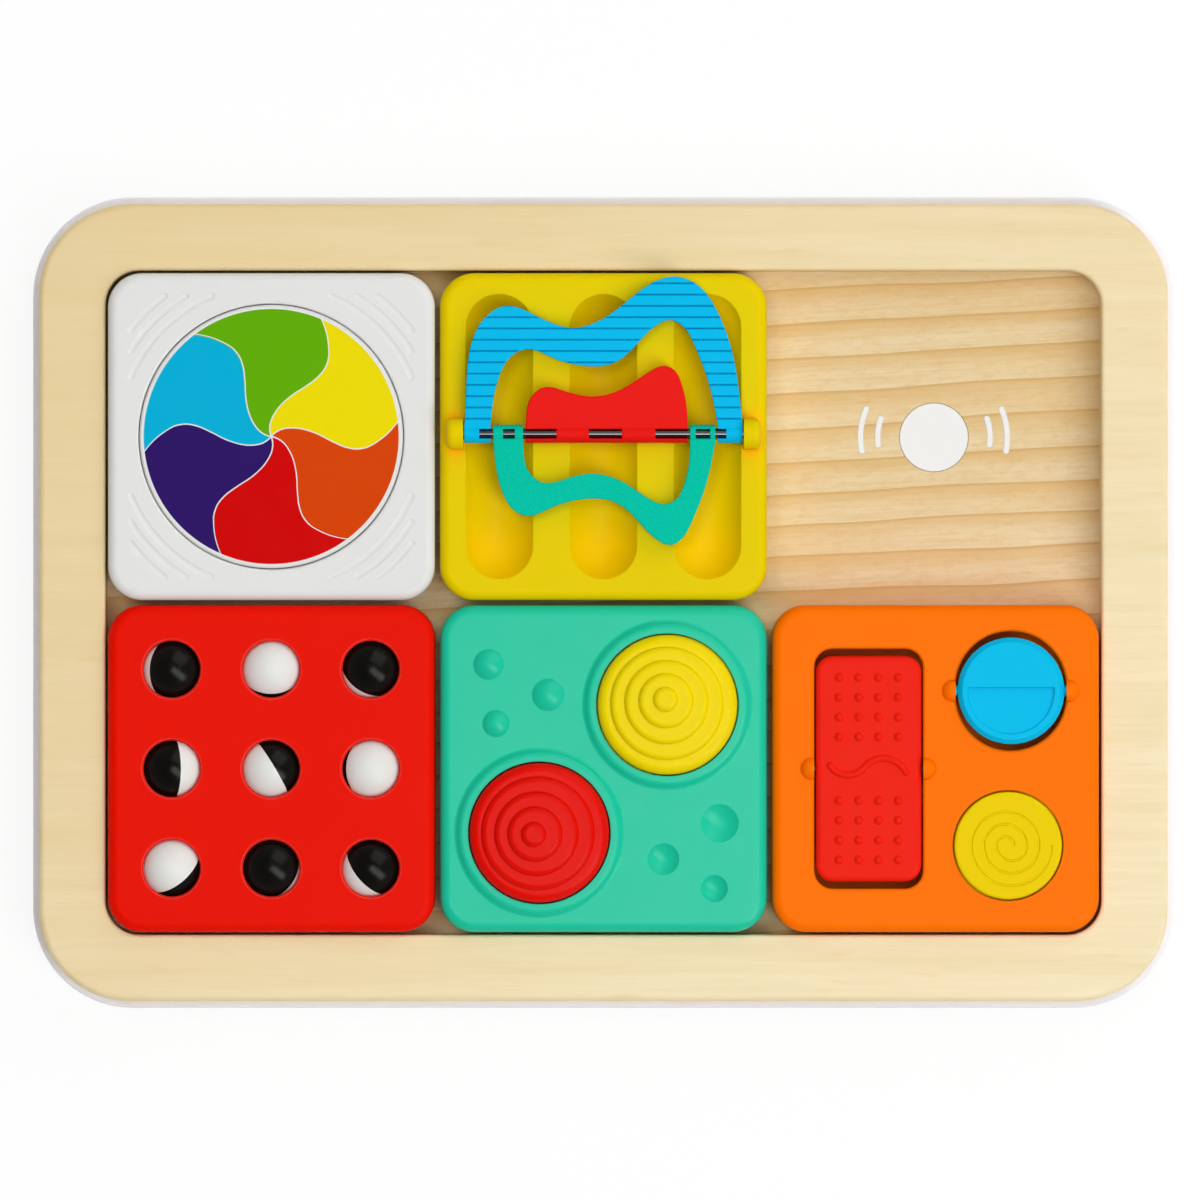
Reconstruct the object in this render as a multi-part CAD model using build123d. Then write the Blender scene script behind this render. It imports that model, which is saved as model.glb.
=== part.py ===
"""A lap tablet of wood that holds square magnetic activity tiles. All sizes are in millimetres.

The frame stands on Z = 0 with its middle over the origin. X runs along the long side, Y towards
the far long side and Z up. Each tile is modelled on its own origin and then set into its bay.
"""

import math
import os

from build123d import *

# Tray of wood
columns = 3
rows = 2
tile_width = 89.4
tile_gap = 1.4
wall_gap = 0.8
rail_width = 18.2
rail_height = 14.0
outer_corner = 25.0
opening_corner = 9.3
rail_outer_round = 1.6
rail_inner_round = 1.0
base_thickness = 4.0
backing_thickness = 3.0
backing_rim = 2.4
backing_edge_round = 0.8
bay_disc_radius = 9.4
bay_disc_thickness = 1.5
bay_disc_gap = 0.1
tray_screw_head = 3.4
tray_screw_head_height = 2.0
tray_screw_shank = 1.6
tray_screw_length = 13.0
tray_screw_share = 0.42

# What every cut and every screw shares
overrun = 1.0
screw_recess = 0.2
screw_gap = 0.05

# Tile shell, cover and magnet
tile_height = 18.0
tile_corner = 9.3
tile_edge_round = 2.7
tile_foot_round = 0.6
tile_wall = 2.4
cover_thickness = 2.4
cover_gap = 0.2
boss_radius = 3.2
boss_inset = 5.1
magnet_radius = 9.0
magnet_floor = 0.8
magnet_gap = 0.1
cover_screw_head = 2.6
cover_screw_head_height = 1.5
cover_screw_shank = 1.25
cover_screw_length = 7.0

# White tile with the spinning disc
spinner_radius = 36.0
spinner_gap = 0.3
spinner_rim_round = 0.6
spinner_thickness = 2.8
spinner_edge = 0.4
spinner_well_depth = 3.0
spinner_deck = 2.4
thrust_ring_radius = 6.0
thrust_ring_height = 0.4
stub_radius = 4.0
stub_clearance = 0.08
stub_play = 0.3
washer_radius = 6.5
washer_thickness = 0.8
spinner_screw_head = 2.8
spinner_screw_head_height = 1.8
spinner_screw_grip = 4.0
swish_first_radius = 41.7
swish_pitch = 3.25
swish_count = 3
swish_width = 1.8
swish_depth = 0.25
swish_reach = 38.4

# Yellow tile with the nested pages
page_margin = 6.7
page_reach = 42.9
page_thickness = 4.0
page_gap = 0.7
inset_steps = 32
barrel_radius = 2.5
rod_radius = 1.5
rod_grip = 3.7
rod_lift = 2.9
rod_offset = 0.7
rod_bore_clearance = 0.08
rod_seat_gap = 0.05
window_height = 2.6
groove_first = 4.1
groove_pitch = 3.08
groove_count = 13
groove_width = 0.35
groove_depth = 0.7
rod_boss_radius = 4.25
rod_boss_edge = 1.7
rod_boss_round = 2.0
rod_boss_gap = 0.3
trough_margin = 0.31
trough_depth = 5.0
trough_radius = 11.04
trough_end = 39.0
page_floor = 2.4
blue_outer_shares = (
    (-1.0, 0.0), (-0.96, 0.53), (-0.85, 0.74), (-0.71, 0.813), (-0.53, 0.772), (-0.22, 0.674),
    (0.07, 0.774), (0.23, 0.888), (0.53, 1.0), (0.69, 0.937), (0.81, 0.795), (0.947, 0.431), (1.0, 0.0),
)
blue_inner_shares = (
    (-0.81, 0.0), (-0.785, 0.245), (-0.745, 0.373), (-0.67, 0.487), (-0.558, 0.538), (-0.366, 0.485),
    (-0.076, 0.429), (0.053, 0.443), (0.182, 0.517), (0.376, 0.688), (0.482, 0.724), (0.568, 0.688),
    (0.65, 0.573), (0.763, 0.303), (0.822, 0.0),
)
teal_inner_shares = (
    (-0.578, 0.0), (-0.571, 0.14), (-0.542, 0.233), (-0.495, 0.282), (-0.43, 0.311), (-0.366, 0.311),
    (-0.268, 0.286), (-0.076, 0.254), (0.134, 0.304), (0.345, 0.422), (0.439, 0.448), (0.521, 0.418),
    (0.578, 0.326), (0.611, 0.212), (0.623, 0.0),
)
blue_window_shares = ((-0.892, -0.79), (0.80, 0.882))
teal_window_shares = ((-0.721, -0.637), (0.663, 0.766))
red_window_shares = ((-0.60, -0.337), (-0.104, 0.131), (0.374, 0.65))

# Red tile with the balls
ball_proud = 2.5
ball_floor_gap = 0.5
ball_gap = 0.3
ball_pitch = 27.2
ball_hole_inset = 1.05
ball_hole_lip = 0.5
ball_deck = 2.2
ball_collar_wall = 1.9
ball_collar_drop = 3.4
cradle_height = 4.0
cradle_inset = 3.2
cradle_corner = 4.0
cradle_gap = 0.3
# Heading and upward tilt, in degrees, of the white side of each ball, row by row
ball_turns = (
    ((176, -43), (90, 50), (235, -48)),
    ((0, -17), (211, 7), (0, 50)),
    ((130, 32), (-32, -53), (220, -29)),
)

# Teal tile with the rippled domes
knob_radius = 19.1
knob_gap = 0.4
knob_place = 17.5
knob_deck = 3.0
knob_wall = 2.5
knob_flange_radius = 21.3
knob_flange_thickness = 1.6
knob_play = 0.3
knob_shoulder_height = 2.2
knob_shoulder_inset = 2.9
ripple_shares = (0.811, 0.602, 0.393, 0.178)
ripple_height = 1.25
ripple_roll = 1.8
ripple_shift = 1.6
red_ripple_heading = 192
yellow_ripple_heading = 111
collar_width = 1.4
collar_skirt = 2.8
collar_height = 1.4
collar_sink = 0.06
hub_radius = 5.0
spindle_radius = 3.0
spindle_clearance = 0.08
spindle_rise = 9.6
spindle_collar_radius = 5.2
spindle_collar_height = 2.0
bump_shares = ((-0.338, 0.451), (-0.656, 0.276), (-0.702, 0.638))
bump_radius = 4.4
bump_size_shares = (1.0, 0.84, 0.95)
bump_height = 1.8
dimple_shares = ((0.711, -0.333), (0.367, -0.553), (0.678, -0.733))
dimple_radius = 5.2
dimple_size_shares = (1.0, 0.83, 0.71)
dimple_depth = 1.7

# Orange tile with the switches
switch_deck = 3.0
switch_lip = 0.5
seat_gap = 0.06
snap_share = 0.85
pivot_bump_radius = 3.15
pivot_bump_drop = 0.8
pivot_bump_length = 3.8
rocker_shift = 18.3
rocker_width = 28.9
rocker_length = 61.7
rocker_corner = 4.7
rocker_thickness = 5.0
rocker_proud = 0.4
rocker_round = 1.5
rocker_side_gap = 0.45
rocker_end_gap = 2.0
rocker_tilt = 8.0
rocker_pivot_drop = 2.1
rocker_pin_radius = 1.2
rocker_pin_reach = 2.6
rocker_bore_clearance = 0.08
rocker_stop_place = 27.0
rocker_stop_width = 16.0
rocker_stop_thickness = 2.4
rocker_stop_gap = 0.4
dot_radius = 1.2
dot_height = 0.8
dot_rows = 4
dot_columns = 4
dot_pitch = 5.4
dot_first_row = 8.7
wave_radius = 0.95
wave_sink = 0.25
wave_start_shares = (-0.73, 0.03)
wave_dip_shares = (-0.41, -0.055)
wave_cross_shares = (-0.08, 0.013)
wave_end_shares = (0.70, -0.032)
flip_shift = 20.6
flip_advance = 21.3
flip_radius = 14.55
flip_thickness = 6.0
flip_chamfer = 1.2
flip_pivot_drop = 0.4
flip_side_gap = 0.6
flip_end_gap = 1.8
flip_trunnion_radius = 1.5
flip_trunnion_reach = 2.2
flip_trunnion_clearance = 0.08
scoop_radius = 11.8
scoop_depth = 0.9
scoop_slope = 2.5
scoop_rise = 0.9
button_shift = 19.8
button_retreat = 21.0
button_radius = 14.7
button_gap = 0.45
button_proud = 0.8
button_edge = 0.7
button_top_wall = 2.5
button_side_wall = 2.0
button_flange = 1.9
button_flange_thickness = 1.5
button_play = 0.3
spiral_radius = 11.8
spiral_pitch = 3.4
spiral_half_turns = 6
spiral_groove = 0.33
spring_radius = 6.0
spring_wire = 0.6
spring_half_turns = 10
spring_points = 8
spring_end_gap = 0.05
spring_post_gap = 0.6
spring_post_height = 5.0

# Places that follow from the sizes above
bay_pitch = tile_width + tile_gap
opening_length = columns * bay_pitch - tile_gap + 2 * wall_gap
opening_width = rows * bay_pitch - tile_gap + 2 * wall_gap
tray_length = opening_length + 2 * rail_width
tray_width = opening_width + 2 * rail_width
base_level = backing_thickness
floor_level = base_level + base_thickness
tile_half = tile_width / 2
inner_width = tile_width - 2 * tile_wall
inner_corner = tile_corner - tile_wall
boss_place = inner_width / 2 - boss_inset
page_half_width = tile_half - page_margin
rod_level = tile_height + rod_lift
rod_end = page_half_width + rod_boss_gap + rod_grip
rod_boss_length = page_margin - rod_boss_gap - rod_boss_edge
trough_half_width = math.sqrt(trough_radius**2 - (trough_radius - trough_depth) ** 2)
trough_spacing = page_half_width - trough_half_width - trough_margin
ball_radius = (tile_height + ball_proud - cover_thickness - ball_floor_gap) / 2
ball_hole_radius = ball_radius - ball_hole_inset
ball_collar_radius = ball_radius + ball_collar_wall
ball_level = tile_height + ball_proud - ball_radius
rocker_level = tile_height - rocker_pivot_drop
flip_level = tile_height - flip_pivot_drop
rocker_at = Pos(-rocker_shift, 0, 0)
flip_at = Pos(flip_shift, flip_advance, 0)
button_at = Pos(button_shift, -button_retreat, 0)


def plate(length, width, thickness, corner):
    """A flat plate with upright round corners that stands on Z = 0."""
    return extrude(RectangleRounded(length, width, corner), amount=thickness)


def post(radius, height):
    """A round post that stands on Z = 0."""
    return Cylinder(radius, height, align=(Align.CENTER, Align.CENTER, Align.MIN))


def bar(radius, length):
    """A round bar along X, centred on the origin."""
    return Rot(0, 90, 0) * Cylinder(radius, length)


def turned(*edges):
    """A solid of revolution about Z from a closed outline in the XZ plane."""
    return revolve(Plane.XZ * make_face(Curve() + list(edges)), axis=Axis.Z)


def countersunk(head, head_height, shank, length):
    """A flat-headed screw, head down, with its face on Z = 0."""
    cone = Cone(head, shank, head_height, align=(Align.CENTER, Align.CENTER, Align.MIN))
    return cone + post(shank, length)


def top_edges(solid):
    """The edges that lie highest on a solid."""
    return solid.edges().group_by(Axis.Z)[-1]


def bottom_edges(solid):
    """The edges that lie lowest on a solid."""
    return solid.edges().group_by(Axis.Z)[0]


def bay(column, row):
    """The middle of a bay on the tray's floor, counted from the far left."""
    x = (column - (columns - 1) / 2) * bay_pitch
    y = ((rows - 1) / 2 - row) * bay_pitch
    return Pos(x, y, floor_level)


def all_bays():
    """Every bay's place."""
    return [bay(column, row) for row in range(rows) for column in range(columns)]


def corners(x, y):
    """Four places at the corners of a rectangle."""
    return [Pos(side * x, end * y, 0) for side in (-1, 1) for end in (-1, 1)]


def tray_screw_places():
    """Screws under the middle of the rails: three along each long rail, one in each short rail."""
    across = opening_width / 2 + rail_width / 2
    along = opening_length / 2 + rail_width / 2
    places = corners(tray_screw_share * tray_length, across)
    places += [Pos(0, end * across, 0) for end in (-1, 1)]
    places += [Pos(side * along, 0, 0) for side in (-1, 1)]
    return [Pos(0, 0, screw_recess) * place for place in places]


def tray_screw(gap):
    """One tray screw, or with a gap the hole that takes it."""
    return countersunk(
        tray_screw_head + gap, tray_screw_head_height, tray_screw_shank + gap, tray_screw_length + gap
    )


def tray_screw_holes():
    """The holes for all tray screws, with the recess below each head."""
    hole = tray_screw(screw_gap) + Pos(0, 0, -screw_recess) * post(tray_screw_head + screw_gap, screw_recess)
    return [place * hole for place in tray_screw_places()]


def backing_board():
    """The white board under the wood, a little larger than the wood all round."""
    board = plate(
        tray_length + 2 * backing_rim, tray_width + 2 * backing_rim, backing_thickness,
        outer_corner + backing_rim,
    )
    board = fillet(top_edges(board) + bottom_edges(board), backing_edge_round)
    return board - tray_screw_holes()


def base_panel():
    """The floor of the tray, with a round pocket for a steel disc in each bay."""
    panel = Pos(0, 0, base_level) * plate(tray_length, tray_width, base_thickness, outer_corner)
    pocket = post(bay_disc_radius + bay_disc_gap, bay_disc_thickness + overrun)
    pocket = Pos(0, 0, -bay_disc_thickness) * pocket
    return panel - [place * pocket for place in all_bays()] - tray_screw_holes()


def bay_discs():
    """The steel discs that hold the tiles, level with the floor."""
    disc = Pos(0, 0, -bay_disc_thickness) * post(bay_disc_radius, bay_disc_thickness)
    return [place * disc for place in all_bays()]


def rail_frame():
    """The ring of rails, cut from one sheet."""
    ring = plate(tray_length, tray_width, rail_height, outer_corner)
    ring = fillet(top_edges(ring), rail_outer_round)
    ring -= plate(opening_length, opening_width, rail_height, opening_corner)
    rim = top_edges(ring).filter_by_position(Axis.X, -opening_length / 2, opening_length / 2)
    rim = rim.filter_by_position(Axis.Y, -opening_width / 2, opening_width / 2)
    ring = fillet(rim, rail_inner_round)
    return Pos(0, 0, floor_level) * ring - tray_screw_holes()


def cover_screw(gap):
    """One cover screw, or with a gap the hole that takes it."""
    screw = countersunk(
        cover_screw_head + gap, cover_screw_head_height, cover_screw_shank + gap, cover_screw_length + gap
    )
    return Pos(0, 0, screw_recess) * screw


def cover_screws():
    """The four screws of a tile's cover."""
    return [place * cover_screw(0) for place in corners(boss_place, boss_place)]


def tile_shell(ceiling):
    """A tile's moulded shell, open below, hollow up to the ceiling, with a screw boss in each corner."""
    shell = plate(tile_width, tile_width, tile_height, tile_corner)
    shell = fillet(top_edges(shell), tile_edge_round)
    shell = fillet(bottom_edges(shell), tile_foot_round)
    shell -= plate(inner_width, inner_width, ceiling, inner_corner)
    boss = Pos(0, 0, cover_thickness) * post(boss_radius, ceiling - cover_thickness)
    places = corners(boss_place, boss_place)
    return shell + [place * boss for place in places] - [place * cover_screw(screw_gap) for place in places]


def tile_cover():
    """The plate that closes a tile below, with a pocket for the magnet."""
    side = inner_width - 2 * cover_gap
    cover = plate(side, side, cover_thickness, inner_corner - cover_gap)
    cover -= Pos(0, 0, magnet_floor) * post(magnet_radius + magnet_gap, cover_thickness)
    hole = cover_screw(screw_gap) + post(cover_screw_head + screw_gap, screw_recess)
    return cover - [place * hole for place in corners(boss_place, boss_place)]


def tile_magnet():
    """The round magnet, level with the inside of the cover."""
    return Pos(0, 0, magnet_floor) * post(magnet_radius, cover_thickness - magnet_floor)


def swish(radius):
    """One soft band across a corner of the white tile, as the solid that is cut away."""
    groove_radius = (swish_width**2 / 4 + swish_depth**2) / (2 * swish_depth)
    start = math.acos(swish_reach / radius)
    ends = [
        Pos(radius * math.cos(angle), radius * math.sin(angle), 0) * Sphere(groove_radius)
        for angle in (start, math.pi / 2 - start)
    ]
    span = 90 - 2 * math.degrees(start)
    band = Rot(0, 0, math.degrees(start)) * Torus(
        radius, groove_radius, major_angle=span, align=(Align.NONE, Align.NONE, Align.NONE)
    )
    return Pos(0, 0, tile_height + groove_radius - swish_depth) * (band + ends)


def spinner_shell():
    """The white shell: a round well with a soft rim for the disc, and soft bands in the corners."""
    well_floor = tile_height - spinner_well_depth
    shell = tile_shell(well_floor - spinner_deck)
    shell -= Pos(0, 0, well_floor) * post(spinner_radius + spinner_gap, spinner_well_depth + overrun)
    shell = fillet(top_edges(shell).sort_by(SortBy.LENGTH)[-1], spinner_rim_round)
    shell -= Pos(0, 0, well_floor - spinner_deck) * post(stub_radius + stub_clearance, spinner_deck)
    for step in range(swish_count):
        band = swish(swish_first_radius + step * swish_pitch)
        shell -= [Rot(0, 0, turn) * band for turn in (0, 90, 180, 270)]
    return shell


def spinner_level():
    """The height of the lower face of the disc's stub."""
    return tile_height - spinner_well_depth - spinner_deck - stub_play


def spinner_disc():
    """The disc, with a thrust ring and a stub shaft under it."""
    well_floor = tile_height - spinner_well_depth
    disc = post(spinner_radius, spinner_thickness)
    disc = chamfer(top_edges(disc), spinner_edge)
    disc = Pos(0, 0, well_floor + thrust_ring_height) * disc
    disc += Pos(0, 0, well_floor) * post(thrust_ring_radius, thrust_ring_height)
    disc += Pos(0, 0, spinner_level()) * post(stub_radius, spinner_deck + stub_play)
    hole = post(cover_screw_shank + screw_gap, spinner_screw_grip + screw_gap)
    return disc - Pos(0, 0, spinner_level()) * hole


def spinner_washer():
    """The washer that keeps the stub in the deck."""
    washer = post(washer_radius, washer_thickness) - post(cover_screw_shank + screw_gap, washer_thickness)
    return Pos(0, 0, spinner_level() - washer_thickness) * washer


def spinner_screw():
    """The pan-headed screw that holds the washer to the stub."""
    head = post(spinner_screw_head, spinner_screw_head_height)
    head = fillet(bottom_edges(head), spinner_screw_head_height / 2)
    screw = head + Pos(0, 0, spinner_screw_head_height) * post(
        cover_screw_shank, washer_thickness + spinner_screw_grip
    )
    return Pos(0, 0, spinner_level() - washer_thickness - spinner_screw_head_height) * screw


def trough():
    """A finger trough with round ends, as the solid that is cut away."""
    level = tile_height + trough_radius - trough_depth
    half_run = trough_end - trough_half_width
    run = Rot(90, 0, 0) * Cylinder(trough_radius, 2 * half_run)
    ends = [Pos(0, end * half_run, 0) * Sphere(trough_radius) for end in (-1, 1)]
    return Pos(0, 0, level) * (run + ends)


def rod_boss(side):
    """The raised boss that holds one end of the rod."""
    inner = page_half_width + rod_boss_gap
    drop = rod_level - tile_height
    arch = bar(rod_boss_radius, rod_boss_length)
    arch += Pos(0, 0, -drop / 2) * Box(rod_boss_length, 2 * rod_boss_radius, drop)
    arch -= Pos(0, 0, -drop - rod_boss_radius) * Box(
        rod_boss_length, 2 * rod_boss_radius, 2 * rod_boss_radius
    )
    outer_end = arch.faces().sort_by(Axis.X)[-1]
    rim = outer_end.edges().filter_by(lambda edge: edge.center().Z > -drop / 2 - rod_boss_gap)
    arch = fillet(rim, rod_boss_round)
    arch = Pos(inner + rod_boss_length / 2, 0, 0) * arch
    return Pos(0, rod_offset, rod_level) * (arch if side > 0 else mirror(arch, Plane.YZ))


def page_shell():
    """The yellow shell: three troughs and two bosses for the rod."""
    shell = tile_shell(tile_height - trough_depth - page_floor)
    shell -= [Pos(step * trough_spacing, 0, 0) * trough() for step in (-1, 0, 1)]
    shell += [rod_boss(side) for side in (-1, 1)]
    return shell - Pos(0, rod_offset, rod_level) * bar(rod_radius + rod_seat_gap, 2 * rod_end)


def page_rod():
    """The steel rod that all pages turn on."""
    return Pos(0, rod_offset, rod_level) * bar(rod_radius, 2 * rod_end)


def page_crown(shares):
    """The wavy outline of a page, from its left foot over to its right foot."""
    points = [(x * page_half_width, max(y * page_reach, barrel_radius)) for x, y in shares]
    return Spline(*points)


def inset_crown(crown):
    """The outline that runs one page gap inside another."""
    points = []
    for step in range(inset_steps + 1):
        along = crown % (step / inset_steps)
        points.append(crown @ (step / inset_steps) + Vector(along.Y, -along.X) * page_gap)
    return Spline(*points)


def page_region(crown):
    """The flat region under one outline, with straight feet down to the rod's axis."""
    left, right = crown @ 0, crown @ 1
    feet = Polyline(right, (right.X, 0), (left.X, 0), left)
    return make_face(crown + feet)


def page_regions():
    """The blue, teal and red regions, each nested in the one before."""
    blue_inner = page_crown(blue_inner_shares)
    teal_inner = page_crown(teal_inner_shares)
    blue = page_region(page_crown(blue_outer_shares)) - page_region(blue_inner)
    teal = page_region(inset_crown(blue_inner)) - page_region(teal_inner)
    return blue, teal, page_region(inset_crown(teal_inner))


def barrel(region):
    """The round barrel along each foot of a page."""
    feet = region.edges().group_by(Axis.Y)[0]
    return [Pos(foot.center().X, 0, 0) * bar(barrel_radius, foot.length) for foot in feet]


def page(region, window_shares):
    """One page with its barrel, its bore and the windows that show the rod."""
    leaf = extrude(region, amount=page_thickness / 2, both=True) + barrel(region)
    leaf -= bar(rod_radius + rod_bore_clearance, 2 * rod_end)
    for start, end in window_shares:
        middle = (start + end) / 2 * page_half_width
        width = (end - start) * page_half_width
        leaf -= Pos(middle, 0, 0) * Box(width, window_height, 2 * (barrel_radius + overrun))
    return leaf


def ribbed(leaf):
    """A page with fine grooves across both of its faces."""
    groove = Box(2 * page_reach, groove_width, 2 * groove_depth)
    for step in range(groove_count):
        place = groove_first + step * groove_pitch
        leaf -= [Pos(0, place, side * page_thickness / 2) * groove for side in (-1, 1)]
    return leaf


def pages():
    """The three pages on the rod, with the teal one folded over to the near side."""
    blue, teal, red = page_regions()
    on_rod = Pos(0, rod_offset, rod_level)
    return (
        on_rod * ribbed(page(blue, blue_window_shares)),
        on_rod * Rot(180, 0, 0) * page(teal, teal_window_shares),
        on_rod * page(red, red_window_shares),
    )


def ball_places():
    """The middle of every ball, row by row from the far left."""
    steps = (-1, 0, 1)
    return [[Pos(x * ball_pitch, -y * ball_pitch, ball_level) for x in steps] for y in steps]


def ball_shell():
    """The red shell: a round hole and a seat over each ball."""
    ceiling = tile_height - ball_deck
    shell = tile_shell(ceiling)
    drop = ceiling - ball_collar_drop
    collar = Pos(0, 0, drop) * post(ball_collar_radius, ball_collar_drop)
    hole = post(ball_hole_radius, tile_height)
    lip = Pos(0, 0, tile_height - ball_hole_lip) * Cone(
        ball_hole_radius, ball_hole_radius + 2 * ball_hole_lip, 2 * ball_hole_lip,
        align=(Align.CENTER, Align.CENTER, Align.MIN),
    )
    room = Pos(0, 0, ball_level) * Sphere(ball_radius + ball_gap)
    for row in ball_places():
        for place in row:
            spot = Pos(place.position.X, place.position.Y, 0)
            shell += spot * collar
            shell -= spot * (Pos(0, 0, ball_level) * hole + lip + room)
    return shell


def ball_cradle():
    """The plate under the balls, with a cup for each ball and room for the screw bosses."""
    side = inner_width - 2 * cradle_inset
    cradle = Pos(0, 0, cover_thickness) * plate(side, side, cradle_height, cradle_corner)
    cup = Sphere(ball_radius + ball_gap)
    cradle -= [place * cup for row in ball_places() for place in row]
    room = post(boss_radius + cradle_gap, tile_height)
    return cradle - [place * room for place in corners(boss_place, boss_place)]


def ball_half(turn, white):
    """One half of a ball: the white half faces along the turn, the black half away from it."""
    heading, tilt = turn
    start, end = (0, 90) if white else (-90, 0)
    half = Sphere(ball_radius, arc_size1=start, arc_size2=end, align=(Align.NONE, Align.NONE, Align.NONE))
    return Rot(0, 0, heading) * Rot(0, -tilt, 0) * Rot(0, 90, 0) * half


def knob_places():
    """The middle of the red knob, near left, and of the yellow knob, far right."""
    return Pos(-knob_place, -knob_place, 0), Pos(knob_place, knob_place, 0)


def cap(radius, height):
    """A low round cap of a sphere on Z = 0, as a whole sphere that stands out by the height."""
    sphere_radius = (radius**2 + height**2) / (2 * height)
    return Pos(0, 0, height - sphere_radius) * Sphere(sphere_radius)


def knob_collar():
    """The raised ring round a knob, from its hole out to its hollow foot just below the face."""
    inner = knob_radius + knob_gap
    crest = inner + collar_width
    foot = crest + collar_skirt
    middle = ((crest + foot) / 2, (collar_height - collar_sink) / 2)
    shoulder = TangentArc((crest, collar_height), middle, tangent=(1, 0))
    return turned(
        Line((inner, -collar_sink), (inner, collar_height)),
        Line((inner, collar_height), (crest, collar_height)),
        shoulder,
        TangentArc(middle, (foot, -collar_sink), tangent=shoulder % 1),
        Line((foot, -collar_sink), (inner, -collar_sink)),
    )


def knob_shell():
    """The teal shell: a raised collar round each knob, three bumps and three dimples."""
    shell = tile_shell(tile_height - knob_deck)
    face = Pos(0, 0, tile_height)
    shell += [face * place * knob_collar() for place in knob_places()]
    for (x, y), size in zip(bump_shares, bump_size_shares):
        bump = cap(size * bump_radius, bump_height)
        bump -= Pos(0, 0, -tile_half) * Box(tile_half, tile_half, tile_width)
        shell += face * Pos(x * tile_half, y * tile_half, 0) * bump
    for (x, y), size in zip(dimple_shares, dimple_size_shares):
        dimple = Rot(180, 0, 0) * cap(size * dimple_radius, dimple_depth)
        shell -= face * Pos(x * tile_half, y * tile_half, 0) * dimple
    return shell - [place * post(knob_radius + knob_gap, tile_height + overrun) for place in knob_places()]


def knob_cover():
    """The cover of the teal tile, with a spindle and a thrust collar under each knob."""
    collar = Pos(0, 0, cover_thickness) * post(spindle_collar_radius, spindle_collar_height)
    spindle = Pos(0, 0, cover_thickness + spindle_collar_height) * post(spindle_radius, spindle_rise)
    return tile_cover() + [place * (collar + spindle) for place in knob_places()]


def ripple(radius):
    """One step of the dome: a low disc with a rolled edge."""
    bend_radius = radius - ripple_roll * (1 - math.cos(math.pi / 4))
    bend = (bend_radius, ripple_height * math.sin(math.pi / 4))
    return turned(
        Line((0, 0), (radius, 0)),
        ThreePointArc((radius, 0), bend, (radius - ripple_roll, ripple_height)),
        Line((radius - ripple_roll, ripple_height), (0, ripple_height)),
        Line((0, ripple_height), (0, 0)),
    )


def knob(heading):
    """A rippled dome whose steps lean off its axis, hollow below, on a hub and with a flange."""
    flange_top = tile_height - knob_deck - knob_play
    flange_bottom = flange_top - knob_flange_thickness
    skirt_top = tile_height + collar_height
    dome_level = skirt_top + knob_shoulder_height
    thrust_level = cover_thickness + spindle_collar_height
    shoulder_radius = knob_radius - knob_shoulder_inset
    bend_radius = knob_radius - knob_shoulder_inset * (1 - math.cos(math.pi / 4))
    body = turned(
        Line((0, flange_bottom), (knob_flange_radius, flange_bottom)),
        Line((knob_flange_radius, flange_bottom), (knob_flange_radius, flange_top)),
        Line((knob_flange_radius, flange_top), (knob_radius, flange_top)),
        Line((knob_radius, flange_top), (knob_radius, skirt_top)),
        ThreePointArc(
            (knob_radius, skirt_top),
            (bend_radius, skirt_top + knob_shoulder_height * math.sin(math.pi / 4)),
            (shoulder_radius, dome_level),
        ),
        Line((shoulder_radius, dome_level), (0, dome_level)),
        Line((0, dome_level), (0, flange_bottom)),
    )
    body -= Pos(0, 0, flange_bottom) * post(knob_radius - knob_wall, skirt_top - flange_bottom)
    body += Pos(0, 0, thrust_level) * post(hub_radius, skirt_top - thrust_level)
    body -= Pos(0, 0, thrust_level) * post(spindle_radius + spindle_clearance, spindle_rise + knob_play)
    for step, share in enumerate(ripple_shares):
        lean = ripple_shift * (step + 1) / len(ripple_shares)
        place = Rot(0, 0, heading) * Pos(lean, 0, dome_level + step * ripple_height)
        body += place * ripple(share * knob_radius)
    return body


def lipped_hole(sketch):
    """A hole through the deck with a small slanted lip at the face."""
    hole = extrude(sketch, amount=tile_height + overrun)
    lip = extrude(sketch, amount=2 * switch_lip, taper=-45)
    return hole + Pos(0, 0, tile_height - switch_lip) * lip


def pivot_bump(side, inner):
    """The round-ended bump over one end of a pivot, cut flat at the edge of the hole."""
    run = pivot_bump_length - pivot_bump_radius
    bump = Pos(inner + run / 2, 0, 0) * bar(pivot_bump_radius, run)
    bump += Pos(inner + run, 0, 0) * Sphere(pivot_bump_radius)
    bump &= Pos(inner, 0, pivot_bump_drop) * Box(
        pivot_bump_length, 2 * pivot_bump_radius, pivot_bump_radius,
        align=(Align.MIN, Align.CENTER, Align.MIN),
    )
    bump = Pos(0, 0, tile_height - pivot_bump_drop) * bump
    return bump if side > 0 else mirror(bump, Plane.YZ)


def pivot_seat(radius, reach, level):
    """A snap-in seat across a hole, open below, as the solid that is cut away."""
    slot = Box(2 * reach, 2 * snap_share * radius, level, align=(Align.CENTER, Align.CENTER, Align.MAX))
    return Pos(0, 0, level) * (bar(radius, 2 * reach) + slot)


def rocker_half_well():
    """Half the width of the rocker's well."""
    return rocker_width / 2 + rocker_side_gap


def flip_half_hole():
    """Half the width of the flip disc's hole."""
    return flip_radius + flip_side_gap


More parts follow.
